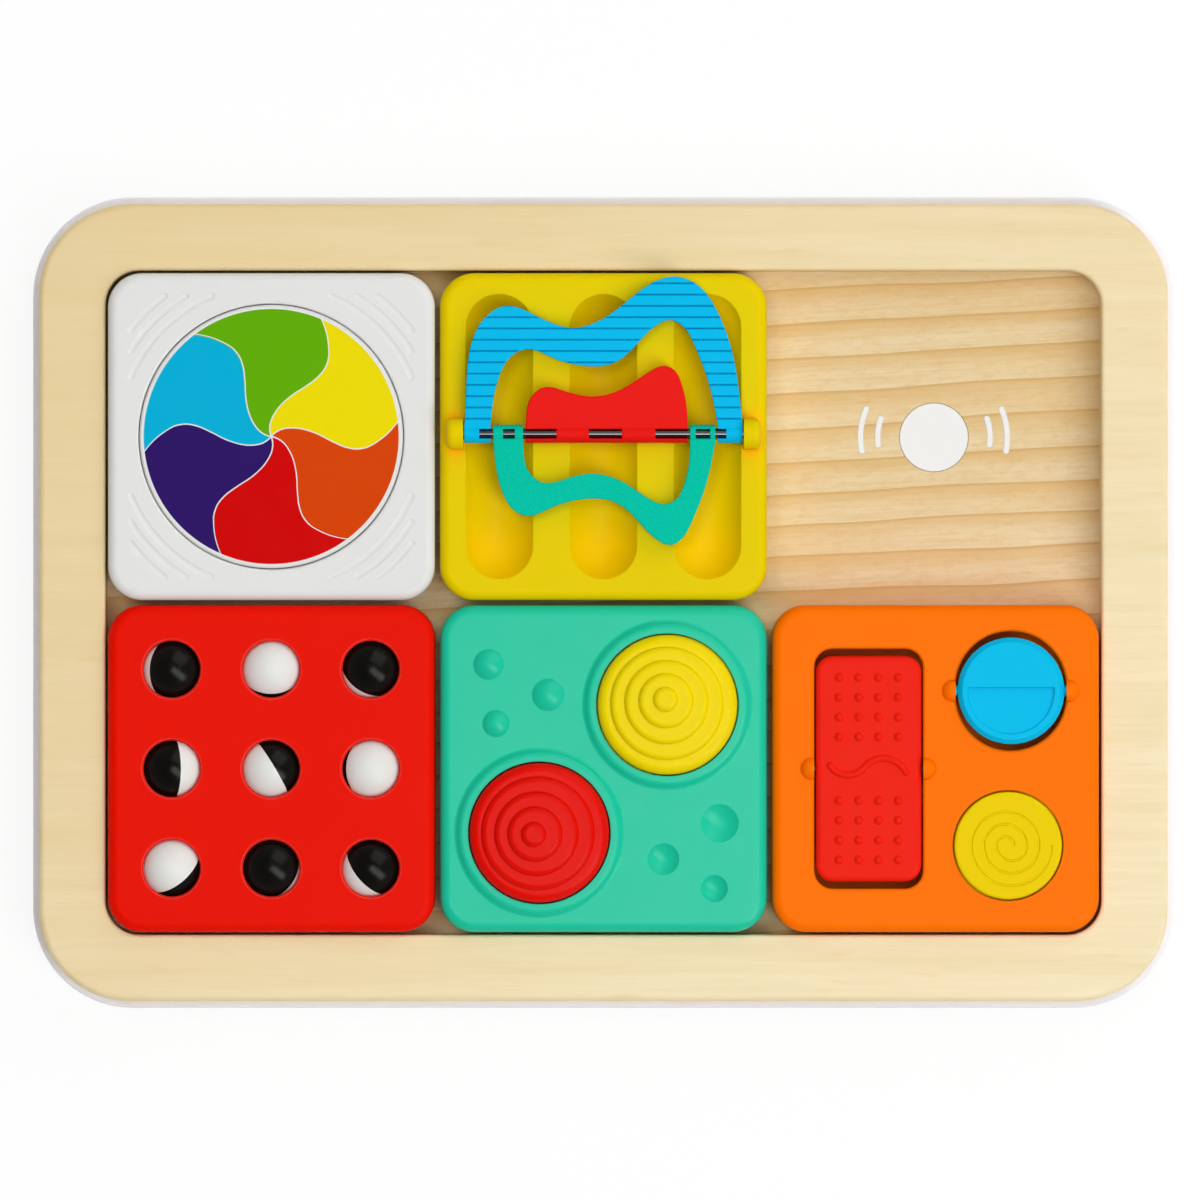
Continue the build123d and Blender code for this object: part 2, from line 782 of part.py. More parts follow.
def switch_shell():
    """The orange shell: a long well, a slotted hole and a round hole, with bumps over the pivots."""
    shell = tile_shell(tile_height - switch_deck)
    shell += [rocker_at * pivot_bump(side, rocker_half_well()) for side in (-1, 1)]
    shell += [flip_at * pivot_bump(side, flip_half_hole()) for side in (-1, 1)]
    well = RectangleRounded(
        2 * rocker_half_well(), rocker_length + 2 * rocker_end_gap, rocker_corner + rocker_side_gap
    )
    slide = flip_end_gap - flip_side_gap
    slot = Rot(0, 0, 90) * SlotCenterToCenter(2 * slide, 2 * flip_half_hole())
    shell -= rocker_at * lipped_hole(well)
    shell -= flip_at * lipped_hole(slot)
    shell -= button_at * post(button_radius + button_gap, tile_height + overrun)
    shell -= rocker_at * pivot_seat(
        rocker_pin_radius + seat_gap, rocker_half_well() + rocker_pin_reach, rocker_level
    )
    return shell - flip_at * pivot_seat(
        flip_trunnion_radius + flip_trunnion_clearance, flip_half_hole() + flip_trunnion_reach, flip_level
    )


def switch_cover():
    """The cover of the orange tile, with stops under the rocker and a post inside the spring."""
    low_corner = rocker_thickness - rocker_proud - rocker_pivot_drop
    tilt = math.radians(rocker_tilt)
    dip = rocker_stop_place * math.sin(tilt) + low_corner * math.cos(tilt)
    stop_top = rocker_level - dip - rocker_stop_gap
    stop = Box(
        rocker_stop_width, rocker_stop_thickness, stop_top - cover_thickness,
        align=(Align.CENTER, Align.CENTER, Align.MIN),
    )
    cover = tile_cover()
    for end in (-1, 1):
        cover += rocker_at * Pos(0, end * rocker_stop_place, cover_thickness) * stop
    guide = post(spring_radius - spring_wire - spring_post_gap, spring_post_height)
    guide = chamfer(top_edges(guide), spring_post_gap)
    return cover + button_at * Pos(0, 0, cover_thickness) * guide


def rocker():
    """The long rocker with rows of dots on both halves and a wave across its middle."""
    top = tile_height + rocker_proud
    slab = plate(rocker_width, rocker_length, rocker_thickness, rocker_corner)
    slab = fillet(top_edges(slab), rocker_round)
    slab = Pos(0, 0, top - rocker_thickness) * slab
    dot = cap(dot_radius, dot_height) - Pos(0, 0, -dot_pitch) * Box(dot_pitch, dot_pitch, 2 * dot_pitch)
    for end in (-1, 1):
        for row in range(dot_rows):
            for column in range(dot_columns):
                x = (column - (dot_columns - 1) / 2) * dot_pitch
                y = end * (dot_first_row + row * dot_pitch)
                slab += Pos(x, y, top) * dot
    slab += Pos(0, 0, top - wave_sink) * wave()
    slab -= Pos(0, 0, rocker_level) * bar(rocker_pin_radius + rocker_bore_clearance, 2 * rocker_width)
    return rocker_at * slab


def wave():
    """The raised wave, a round cord of two tangent arcs with round ends."""
    def point(shares):
        return (shares[0] * rocker_width / 2, shares[1] * rocker_length / 2)

    dip = ThreePointArc(point(wave_start_shares), point(wave_dip_shares), point(wave_cross_shares))
    crest = TangentArc(point(wave_cross_shares), point(wave_end_shares), tangent=dip % 1)
    path = Wire([dip, crest])
    cord = sweep(Plane(origin=path @ 0, z_dir=path % 0) * Circle(wave_radius), path=path)
    return cord + [Pos(path @ end) * Sphere(wave_radius) for end in (0, 1)]


def rocker_pin():
    """The steel pin that the rocker tilts on."""
    return rocker_at * Pos(0, 0, rocker_level) * bar(
        rocker_pin_radius, 2 * (rocker_half_well() + rocker_pin_reach - seat_gap)
    )


def flip_disc():
    """The disc that flips over on its own trunnions, with a slanted half-round scoop on one face."""
    disc = Pos(0, 0, -flip_thickness / 2) * post(flip_radius, flip_thickness)
    disc = chamfer(top_edges(disc) + bottom_edges(disc), flip_chamfer)
    disc += bar(flip_trunnion_radius, 2 * (flip_half_hole() + flip_trunnion_reach - seat_gap))
    half = Circle(scoop_radius) - Pos(0, scoop_radius + scoop_rise, 0) * Rectangle(
        2 * scoop_radius, 2 * scoop_radius
    )
    scoop = Pos(0, 0, flip_thickness / 2 - scoop_depth) * Rot(-scoop_slope, 0, 0) * extrude(
        half, amount=flip_thickness
    )
    return flip_at * Pos(0, 0, flip_level) * (disc - scoop)


def button_flange_level():
    """The height of the lower face of the button's flange at rest."""
    return tile_height - switch_deck - button_play - button_flange_thickness


def button_ceiling():
    """The height of the face inside the button that the spring pushes on."""
    return tile_height + button_proud - button_top_wall


def spiral_path():
    """A flat spiral of half circles, inwards and clockwise from the right."""
    arcs = []
    radius = spiral_radius
    for turn in range(spiral_half_turns):
        side = 1 if turn % 2 == 0 else -1
        next_radius = radius - spiral_pitch / 2
        middle = side * spiral_pitch / 4
        bend = -side * (radius + next_radius) / 2
        arcs.append(ThreePointArc((side * radius, 0), (middle, bend), (-side * next_radius, 0)))
        radius = next_radius
    return Wire(arcs)


def push_button():
    """The round button: a cap with a spiral groove, hollow for the spring, with a flange below."""
    level = button_flange_level()
    top = tile_height + button_proud
    button = Pos(0, 0, level) * post(button_radius, top - level)
    button = fillet(top_edges(button), button_edge)
    button += Pos(0, 0, level) * post(button_radius + button_flange, button_flange_thickness)
    button -= Pos(0, 0, level) * post(button_radius - button_side_wall, button_ceiling() - level)
    path = spiral_path()
    groove = sweep(Plane(origin=path @ 0, z_dir=path % 0) * Circle(spiral_groove), path=path)
    return button_at * (button - Pos(0, 0, top) * groove)


def spring_path():
    """The spring's wire as pairs of tangent arcs, one pair for each half turn."""
    low = cover_thickness + spring_wire + spring_end_gap
    high = button_ceiling() - spring_wire - spring_end_gap
    rise = (high - low) / spring_half_turns
    slope = rise / (math.pi * spring_radius)

    def wire_point(half_turn):
        angle = half_turn * math.pi
        out = Vector(math.cos(angle), math.sin(angle), 0) * spring_radius
        return out + Vector(0, 0, low + half_turn * rise)

    def heading(half_turn):
        angle = half_turn * math.pi
        return Vector(-math.sin(angle), math.cos(angle), slope).normalized()

    arcs = []
    for turn in range(spring_half_turns):
        start, end = wire_point(turn), wire_point(turn + 1)
        out, into = heading(turn), heading(turn + 1)
        span = end - start
        both = span.dot(out + into)
        bend = 2 * (1 - out.dot(into))
        reach = (math.sqrt(both**2 + bend * span.dot(span)) - both) / bend
        joint = (start + end + (out - into) * reach) / 2
        arcs.append(TangentArc(start, joint, tangent=out))
        arcs.append(TangentArc(joint, end, tangent=arcs[-1] % 1))
    return Wire(arcs)


def least_turn_gap(path):
    """The least gap of the spring's wire to itself, measured on points half a turn or more apart."""
    steps = spring_half_turns * spring_points
    points = [path @ (step / steps) for step in range(steps + 1)]
    pairs = [
        (start, end)
        for number, start in enumerate(points)
        for end in points[number + spring_points:]
    ]
    return min((end - start).length for start, end in pairs) - 2 * spring_wire


def button_spring():
    """The coil spring under the button."""
    path = spring_path()
    print("least gap between the turns of the spring:", round(least_turn_gap(path), 3))
    coil = sweep(Plane(origin=path @ 0, z_dir=path % 0) * Circle(spring_wire), path=path)
    return button_at * coil


def tray_nodes():
    """The fixed pieces of the tray."""
    return {
        "backing_board": backing_board(),
        "base_panel": base_panel(),
        "rail_frame": rail_frame(),
        "bay_discs": bay_discs(),
        "tray_screws": [place * tray_screw(0) for place in tray_screw_places()],
    }


def tile_nodes(name, shell, cover):
    """The pieces that every tile has."""
    return {
        f"{name}_shell": shell,
        f"{name}_cover": cover,
        f"{name}_magnet": tile_magnet(),
        f"{name}_cover_screws": cover_screws(),
    }


def spinner_nodes():
    """The white tile."""
    nodes = tile_nodes("spinner_tile", spinner_shell(), tile_cover())
    nodes["spinner_disc"] = spinner_disc()
    nodes["spinner_washer"] = spinner_washer()
    nodes["spinner_screw"] = spinner_screw()
    return nodes


def page_nodes():
    """The yellow tile."""
    nodes = tile_nodes("page_tile", page_shell(), tile_cover())
    nodes["page_rod"] = page_rod()
    nodes["blue_page"], nodes["teal_page"], nodes["red_page"] = pages()
    return nodes


def ball_nodes():
    """The red tile."""
    nodes = tile_nodes("ball_tile", ball_shell(), tile_cover())
    nodes["ball_cradle"] = ball_cradle()
    for row, (places, turns) in enumerate(zip(ball_places(), ball_turns), 1):
        for column, (place, turn) in enumerate(zip(places, turns), 1):
            nodes[f"ball_{row}{column}_white_half"] = place * ball_half(turn, True)
            nodes[f"ball_{row}{column}_black_half"] = place * ball_half(turn, False)
    return nodes


def knob_nodes():
    """The teal tile."""
    nodes = tile_nodes("knob_tile", knob_shell(), knob_cover())
    red_place, yellow_place = knob_places()
    nodes["red_knob"] = red_place * knob(red_ripple_heading)
    nodes["yellow_knob"] = yellow_place * knob(yellow_ripple_heading)
    return nodes


def switch_nodes():
    """The orange tile."""
    nodes = tile_nodes("switch_tile", switch_shell(), switch_cover())
    nodes["rocker"] = rocker()
    nodes["rocker_pin"] = rocker_pin()
    nodes["flip_disc"] = flip_disc()
    nodes["push_button"] = push_button()
    nodes["button_spring"] = button_spring()
    return nodes


def write(nodes, place):
    """Write each node to its own file, at its place in the tray."""
    for name, shape in nodes.items():
        solids = shape if isinstance(shape, list) else [shape]
        export_step(Compound([place * solid for solid in solids]), f"parts/{name}.step")


os.makedirs("parts", exist_ok=True)
write(tray_nodes(), Pos(0, 0, 0))
write(spinner_nodes(), bay(0, 0))
write(page_nodes(), bay(1, 0))
write(ball_nodes(), bay(0, 1))
write(knob_nodes(), bay(1, 1))
write(switch_nodes(), bay(2, 1))
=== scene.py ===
"""Looks for a wooden tablet that holds square magnetic activity tiles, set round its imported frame.

Every length is in metres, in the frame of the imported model: X along the tablet, Y away, Z up.
"""

import math

import bmesh
import bpy
from bpy.props import FloatProperty, FloatVectorProperty, IntProperty, PointerProperty
from mathutils import Matrix, Vector


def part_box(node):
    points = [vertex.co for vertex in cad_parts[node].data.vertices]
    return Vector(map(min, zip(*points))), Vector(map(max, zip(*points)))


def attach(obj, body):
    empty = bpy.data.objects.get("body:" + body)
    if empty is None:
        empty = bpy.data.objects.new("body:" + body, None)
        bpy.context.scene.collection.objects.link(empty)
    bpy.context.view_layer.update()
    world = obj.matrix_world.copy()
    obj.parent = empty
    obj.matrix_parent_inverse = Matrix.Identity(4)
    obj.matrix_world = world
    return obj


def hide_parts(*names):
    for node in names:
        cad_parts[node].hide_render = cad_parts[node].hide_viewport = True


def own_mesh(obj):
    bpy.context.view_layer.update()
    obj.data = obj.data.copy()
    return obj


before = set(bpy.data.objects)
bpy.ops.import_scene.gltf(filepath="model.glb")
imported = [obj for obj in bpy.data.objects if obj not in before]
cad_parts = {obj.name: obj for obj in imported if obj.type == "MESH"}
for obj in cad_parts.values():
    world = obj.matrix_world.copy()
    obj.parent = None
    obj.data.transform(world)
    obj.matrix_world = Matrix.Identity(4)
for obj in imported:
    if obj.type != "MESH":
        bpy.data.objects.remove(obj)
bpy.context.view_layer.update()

bl_info = {
    "name": "Tile tablet looks",
    "version": (1, 0, 0),
    "blender": (4, 5, 0),
    "location": "View3D > Sidebar > Tablet",
    "description": "Dresses a wooden tablet and its magnetic activity tiles for a studio picture",
    "category": "Object",
}

TILES = ("spinner_tile", "page_tile", "ball_tile", "knob_tile", "switch_tile")
UP = (0.0, 0.0, 1.0)
WHITE = (1.0, 1.0, 1.0, 1.0)

# Scales are in features for each metre, and a stretch is a scale along X, Y and Z.
# A gloss is the roughness at the low and the high end of the pattern that changes it.
# A range is a pattern's low and high value. A share is such a range, and how much of a tone
# each end of it gives.
NOISE_LOW = 0.3
NOISE_HIGH = 0.7
EDGE_ROUND = 0.00035
EDGE_SAMPLES = 6

# Plastic: patches of tone, a haze in the gloss and fine pores
TONE_SCALE = 16.0
TONE_LOW = 0.97
TONE_HIGH = 1.025
HAZE_SCALE = 150.0
HAZE_REACH = 0.03
PORE_SCALE = 1500.0
PORE_DEPTH = 0.00002
MATT_PLASTIC = 0.42
RED_PLASTIC = 0.4
SATIN_PLASTIC = 0.38
SMOOTH_PLASTIC = 0.36
GLOSSY_PLASTIC = 0.34
TEAL_PLASTIC = 0.33
PLASTIC_SHEEN = 0.045
DOME_SHEEN = 0.1
TEAL_SHEEN = 0.25
DISC_GLOSS = (0.34, 0.48)
BLUE_EDGE_ROUND = 0.0005
PAGE_EDGE_ROUND = 0.0008

# Sharp edges with a painted highlight, and hollows with painted shade in a warmer tone: where each
# begins and where it is full
EDGE_HIGHLIGHT_NONE = 0.99
EDGE_HIGHLIGHT_FULL = 0.8
EDGE_HIGHLIGHT_SHARE = 0.4
EDGE_ROUND_AND_HIGHLIGHT_REACH = 0.0006
PAINTED_SHADE_REACH = 0.014
PAINTED_SHADE_SAMPLES = 8
PAINTED_SHADE_DEEP = 0.7
PAINTED_SHADE_OPEN = 0.97

# Sanded page: grains that catch the light
SAND_SCALE = 1900.0
SAND_DEPTH = 0.0001
SAND_RANGE = (0.35, 0.75)
SAND_LIFT = 1.22
SAND_GLOSS = (0.62, 0.45)
SAND_PATCH_SCALE = 90.0
SAND_LOW = 0.95
SAND_HIGH = 1.03

# Balls: faint patches and scuffs
BALL_PATCH_SCALE = 120.0
BALL_LOW = 0.96
BALL_HIGH = 1.03
BALL_SHEEN = 0.15
BALL_EDGE_ROUND = 0.00005
SCUFF_STRETCH = (900.0, 260.0, 260.0)
SCUFF_DEPTH = 0.000003
SCUFF_RANGE = (0.4, 0.75)
BALL_GLOSS = (0.2, 0.3)

# Wood: patterns drawn out along the grain. Blender's wave texture turns by WAVE_RADIANS in one unit.
STREAK_STRETCH = (11.0, 170.0, 170.0)
FIBRE_STRETCH = (55.0, 1500.0, 1500.0)
FLECK_STRETCH = (52.0, 430.0, 430.0)
MOTTLE_STRETCH = (330.0, 800.0, 800.0)
PALE_REACH = 0.25
BIRCH_STREAK_SHARE = (0.35, 0.75, 0.0, 0.5)
BIRCH_FLECK_SHARE = (0.62, 0.78, 0.0, 0.3)
BIRCH_FIBRE_SHARE = (0.45, 0.8, 0.0, 0.2)
BIRCH_FIBRE_TONE = 0.93
BIRCH_FIBRE_DEPTH = 0.00003
BIRCH_GLOSS = (0.5, 0.64)
GRAIN_RISE = math.radians(3.0)
GRAIN_PITCH = 0.0092
GRAIN_STRETCH = (0.32, 1.0, 1.0)
GRAIN_WARP = 2.6
GRAIN_WARP_SCALE = 0.7
WAVE_RADIANS = 20.0
PINE_GROWTH_SHARE = (0.45, 1.0, 0.0, 0.7)
PINE_LINE_SHARE = (0.9, 1.0, 0.0, 0.6)
PINE_LINE_TONE = 0.76
PINE_STREAK_SHARE = (0.35, 0.8, 0.0, 0.4)
PINE_STREAK_TONE = 1.1
PINE_FIBRE_SHARE = (0.4, 0.8, 0.0, 0.3)
PINE_FIBRE_TONE = 0.9
PINE_FIBRE_DEPTH = 0.00004
PINE_MOTTLE_SHARE = (0.45, 0.7, 0.0, 0.3)
PINE_GLOSS = (0.5, 0.66)

# Paint: a faint mottle and an orange peel
BOARD_MOTTLE_SCALE = 60.0
BOARD_PAINT = 0.5
DISC_MOTTLE_SCALE = 130.0
DISC_PAINT = 0.42
PAINT_LOW = 0.96
PAINT_HIGH = 1.02
PAINT_REACH = 0.06
PEEL_SCALE = 420.0
PEEL_DEPTH = 0.00004

# Metal: fine drawn lines
METAL_LOW = 0.93
METAL_LINE_DEPTH = 0.000002
METAL_EDGE_ROUND = 0.00015
STEEL_GLOSS = (0.26, 0.4)
STEEL_STRETCH = (700.0, 700.0, 2500.0)
MAGNET_GLOSS = (0.38, 0.55)
MAGNET_STRETCH = (900.0, 900.0, 900.0)
PIN_GLOSS = (0.4, 0.55)
PIN_STRETCH = (60.0, 1500.0, 1500.0)
ROD_GLOSS = (0.03, 0.06)
ROD_STRETCH = (40.0, 900.0, 900.0)

# Stage: the sky's brightness straight up and at the horizon, the floor, and each lamp's place,
# its width and depth, and its power in watts
SKY_TOP = 0.06
SKY_SIDE = 0.42
FLOOR_GLOW = 0.85
FLOOR_DROP = 0.0002
FLOOR_REACH = 15.0
KEY_PLACE = (0.8, -0.68, 1.95)
KEY_SIZE = (0.8, 2.6)
KEY_POWER = 32.0
FILL_PLACE = (1.1, 1.6, 1.72)
FILL_SIZE = (2.2, 2.2)
FILL_POWER = 20.0
TOP_PLACE = (-0.55, 0.55, 2.5)
TOP_SIZE = (0.8, 0.8)
TOP_POWER = 15.0

# The pinwheel's sectors lean by this many degrees at each share of its radius
PINWHEEL_LEAN = (
    (0.0, 45.0), (0.1, 28.0), (0.2, 13.0), (0.39, -5.5), (0.5, -12.05), (0.62, -15.0), (0.73, -13.8),
    (0.84, -9.0), (1.0, 0.0),
)
PINWHEEL_LEAN_LIMIT = 45.0
PINWHEEL_START = 6.6
PINWHEEL_SECTORS = 6

# Shares of the width of the pinwheel's lines: where a line fades, and how soft the rim is
PINWHEEL_LINE_EDGES = (0.35, 0.65)
PINWHEEL_RIM_BLUR = 0.15

# Screws, painted arcs and the spring
TRAY_SCREW_SHARE = 0.42
SCREW_SIDES = 24
CROSS_REACH = 0.6
CROSS_SLOT = 0.13
CROSS_DEPTH = 0.55
CROSS_TAPER = 0.72
POINT_SHARE = 0.1
ARC_LIFT = math.radians(6.0)
ARC_STEPS = 24
CAP_STEPS = 12
WIRE_SIDES = 14
TURN_STEPS = 36
MERGE_SHARE = 0.01


def screen(red, green, blue):
    """A colour as a screen shows it, 0 to 255, as the light values that shaders take."""

    def light(value):
        share = value / 255
        return share / 12.92 if share <= 0.04045 else ((share + 0.055) / 1.055) ** 2.4

    return light(red), light(green), light(blue)


def colour(label, red, green, blue):
    """A colour that a user can change."""
    return FloatVectorProperty(
        name=label, description=f"Colour of the {label.lower()}", subtype="COLOR", size=3,
        min=0.0, max=1.0, default=screen(red, green, blue),
    )


def length(label, words, value):
    """A length that a user can change."""
    return FloatProperty(
        name=label, description=words, subtype="DISTANCE", unit="LENGTH", min=0.0, default=value
    )


class TabletColours(bpy.types.PropertyGroup):
    """Colours of the tablet's finishes."""

    floor: colour("Studio floor", 250, 250, 250)
    backing: colour("Backing board", 249, 247, 252)
    rail: colour("Birch rails", 231, 207, 156)
    # Tone that the rails grow paler towards, at their lower right corner
    rail_pale: colour("Pale end of the birch", 243, 228, 190)
    rail_streak: colour("Streaks in the birch", 226, 200, 142)
    rail_fleck: colour("Flecks in the birch", 222, 190, 120)
    base: colour("Pine floor", 229, 209, 166)
    base_grain: colour("Grain of the pine", 212, 168, 94)
    disc: colour("Bay discs", 234, 234, 233)
    steel: colour("Steel screws", 190, 190, 192)
    chrome: colour("Chrome rod", 108, 108, 112)
    magnet: colour("Magnets", 92, 92, 96)
    pin: colour("Rocker pin", 70, 68, 66)
    white_tile: colour("White tile", 226, 226, 224)
    yellow_tile: colour("Yellow tile", 229, 202, 0)
    # Painted shade: the warmer, darker yellow painted into the tile's hollows
    yellow_painted_shade: colour("Hollows of the yellow tile", 252, 184, 0)
    red_tile: colour("Red tile", 231, 18, 0)
    # Painted highlight: the pale pink painted along the red tile's sharp edges, round its holes
    red_edge_highlight: colour("Worn edges of the red tile", 255, 176, 164)
    teal_tile: colour("Teal tile", 20, 195, 157)
    orange_tile: colour("Orange tile", 252, 114, 0)
    blue_page: colour("Blue page", 0, 183, 232)
    teal_page: colour("Teal page", 0, 185, 158)
    red_page: colour("Red page", 231, 23, 18)
    white_ball: colour("White ball halves", 228, 228, 224)
    black_ball: colour("Black ball halves", 12, 11, 8)
    red_knob: colour("Red dome", 224, 12, 0)
    yellow_knob: colour("Yellow dome", 236, 211, 0)
    rocker: colour("Rocker", 235, 34, 18)
    flip_disc: colour("Flip disc", 0, 186, 230)
    button: colour("Push button", 233, 202, 0)
    spinner: colour("Spinning disc", 226, 226, 223)
    sector_yellow: colour("Yellow sector", 234, 216, 0)
    sector_green: colour("Green sector", 96, 170, 0)
    sector_blue: colour("Blue sector", 0, 172, 212)
    sector_purple: colour("Purple sector", 45, 18, 100)
    sector_red: colour("Red sector", 205, 0, 0)
    sector_orange: colour("Orange sector", 212, 66, 0)


class TabletSizes(bpy.types.PropertyGroup):
    """Sizes of the pieces and prints that the looks add."""

    pinwheel_radius: length("Pinwheel radius", "Radius of the print on the spinning disc", 0.03485)
    pinwheel_line: length("Pinwheel line", "Width of the pale lines between the sectors", 0.00035)
    near_arc_radius: length("Near arc radius", "Radius of the arc beside the bay's disc", 0.01545)
    far_arc_radius: length("Far arc radius", "Radius of the outer arc beside the bay's disc", 0.02015)
    arc_stroke: length("Arc stroke", "Width of the arcs painted in the empty bay", 0.0016)
    arc_film: length("Arc film", "Thickness of the paint of the arcs", 0.00005)
    near_arc_span: FloatProperty(
        name="Near arc span", description="Angle that the near arc covers", subtype="ANGLE",
        unit="ROTATION", default=math.radians(27.4),
    )
    far_arc_span: FloatProperty(
        name="Far arc span", description="Angle that the outer arc covers", subtype="ANGLE",
        unit="ROTATION", default=math.radians(33.6),
    )
    tray_screw_head: length("Tray screw head", "Radius of a tray screw's head", 0.0034)
    tray_screw_height: length("Tray screw head height", "Height of a tray screw's head", 0.002)
    tray_screw_shank: length("Tray screw shank", "Radius of a tray screw's shank", 0.0016)
    cover_screw_head: length("Cover screw head", "Radius of a cover screw's head", 0.0026)
    cover_screw_height: length("Cover screw head height", "Height of a cover screw's head", 0.0015)
    cover_screw_shank: length("Cover screw shank", "Radius of a cover screw's shank", 0.00125)
    spring_radius: length("Spring radius", "Radius of the spring to the middle of its wire", 0.006)
    spring_wire: length("Spring wire", "Radius of the spring's wire", 0.0006)
    spring_press: length("Spring press", "How far the button presses the spring", 0.003)
    spring_turns: IntProperty(name="Spring turns", description="Turns of the spring", min=1, default=5)
    camera_height: length("Camera height", "Height of the camera above the floor", 3.5)
    camera_lens: FloatProperty(
        name="Camera lens", description="Focal length in millimetres", default=381.4
    )
    camera_aside: FloatProperty(
        name="Camera aside", description="Camera's place along the tablet", subtype="DISTANCE",
        unit="LENGTH", default=-0.00093,
    )
    camera_away: FloatProperty(
        name="Camera away", description="Camera's place across the tablet", subtype="DISTANCE",
        unit="LENGTH", default=0.00072,
    )


# Nodes of a material


def add_node(tree, kind, inputs=None, **options):
    """Add a node, set its options and feed its inputs with values or other nodes' sockets."""
    node = tree.nodes.new(kind)
    for name, value in options.items():
        setattr(node, name, value)
    for key, value in (inputs or {}).items():
        feed(tree, node.inputs[key], value)
    return node


def feed(tree, socket, value):
    """Give an input a value, or link it to a socket."""
    if isinstance(value, bpy.types.NodeSocket):
        tree.links.new(value, socket)
    else:
        socket.default_value = value


def reckon(tree, operation, *values):
    """The result of one sum."""
    node = add_node(tree, "ShaderNodeMath", dict(enumerate(values)), operation=operation)
    return node.outputs[0]


def blend(tree, share, first, second):
    """A colour between two colours."""
    inputs = {0: share}
    for key, tone in ((6, first), (7, second)):
        inputs[key] = tone if isinstance(tone, bpy.types.NodeSocket) else (*tone, 1.0)
    return add_node(tree, "ShaderNodeMix", inputs, data_type="RGBA").outputs[2]


def spread(tree, value, low, high, to_low=0.0, to_high=1.0):
    """A value stretched from one range to another and held inside it."""
    node = add_node(tree, "ShaderNodeMapRange", {0: value, 1: low, 2: high, 3: to_low, 4: to_high})
    return node.outputs[0]


def own_place(tree):
    """The place of each point in the frame."""
    return add_node(tree, "ShaderNodeTexCoord").outputs["Object"]


def mapped(tree, vector, **inputs):
    """A place that is scaled, turned and moved, in that order."""
    return add_node(tree, "ShaderNodeMapping", {"Vector": vector, **inputs}).outputs[0]


def speckle(tree, vector, scale, detail=2.0, roughness=0.5):
    """A soft random pattern from 0 to 1."""
    inputs = {"Vector": vector, "Scale": scale, "Detail": detail, "Roughness": roughness}
    return add_node(tree, "ShaderNodeTexNoise", inputs).outputs[0]


def drawn_out(tree, vector, stretch, detail=2.0, roughness=0.5):
    """A soft random pattern with a scale of its own along each axis."""
    return speckle(tree, mapped(tree, vector, Scale=stretch), 1.0, detail, roughness)


def shade(tone, share):
    """A colour made darker or lighter."""
    return tuple(min(value * share, 1.0) for value in tone)


def new_finish(name):
    """A new material, with its nodes and its surface shader."""
    material = bpy.data.materials.new(name)
    material.use_nodes = True
    return material, material.node_tree, material.node_tree.nodes["Principled BSDF"]


def soft_edges(tree, reach):
    """The surface direction with its sharp edges rounded."""
    return add_node(tree, "ShaderNodeBevel", {"Radius": reach}, samples=EDGE_SAMPLES).outputs[0]


def soft_normal(tree, height, depth, edge_round):
    """A surface direction with rounded edges and a fine relief."""
    edges = soft_edges(tree, edge_round)
    inputs = {"Height": height, "Distance": depth, "Normal": edges}
    return add_node(tree, "ShaderNodeBump", inputs).outputs[0]


def painted_edge_highlight(tree, reach):
    """How much painted highlight a sharp edge gets: the most at the edge, none a little way off."""
    flat = add_node(tree, "ShaderNodeNewGeometry").outputs["True Normal"]
    inputs = {0: soft_edges(tree, reach), 1: flat}
    alike = add_node(tree, "ShaderNodeVectorMath", inputs, operation="DOT_PRODUCT").outputs["Value"]
    return spread(tree, alike, EDGE_HIGHLIGHT_NONE, EDGE_HIGHLIGHT_FULL, 0.0, EDGE_HIGHLIGHT_SHARE)


def painted_shade_openness(tree):
    """How open a place of the piece is, for painted shade: 1 on a bare face, less in a hollow, where the
    shade is painted.
    """
    inputs = {"Distance": PAINTED_SHADE_REACH}
    node = add_node(
        tree, "ShaderNodeAmbientOcclusion", inputs, samples=PAINTED_SHADE_SAMPLES, only_local=True
    )
    return spread(tree, node.outputs["AO"], PAINTED_SHADE_DEEP, PAINTED_SHADE_OPEN)


def moulded(
    name, tone, roughness, edge_round=EDGE_ROUND, edge_highlight_tone=None, painted_shade_tone=None, sheen=PLASTIC_SHEEN
):
    """Moulded plastic: patches of tone, a haze in its gloss and fine pores.

    It may also have a painted highlight tone for its sharp edges and a painted shade tone for its
    hollows.
    """
    material, tree, shader = new_finish(name)
    place = own_place(tree)
    patches = speckle(tree, place, TONE_SCALE, detail=3.0)
    base = blend(tree, patches, shade(tone, TONE_LOW), shade(tone, TONE_HIGH))
    # Painted shade: hollows are painted in a warmer, darker tone
    if painted_shade_tone:
        base = blend(tree, painted_shade_openness(tree), painted_shade_tone, base)
    # Painted highlight: sharp edges are painted in a paler tone
    if edge_highlight_tone:
        base = blend(tree, painted_edge_highlight(tree, edge_round), base, edge_highlight_tone)
    feed(tree, shader.inputs["Base Color"], base)
    haze = speckle(tree, place, HAZE_SCALE, detail=4.0)
    gloss = (roughness - HAZE_REACH, roughness + HAZE_REACH)
    feed(tree, shader.inputs["Roughness"], spread(tree, haze, NOISE_LOW, NOISE_HIGH, *gloss))
    pores = speckle(tree, place, PORE_SCALE)
    feed(tree, shader.inputs["Normal"], soft_normal(tree, pores, PORE_DEPTH, edge_round))
    shader.inputs["Specular IOR Level"].default_value = sheen
    return material


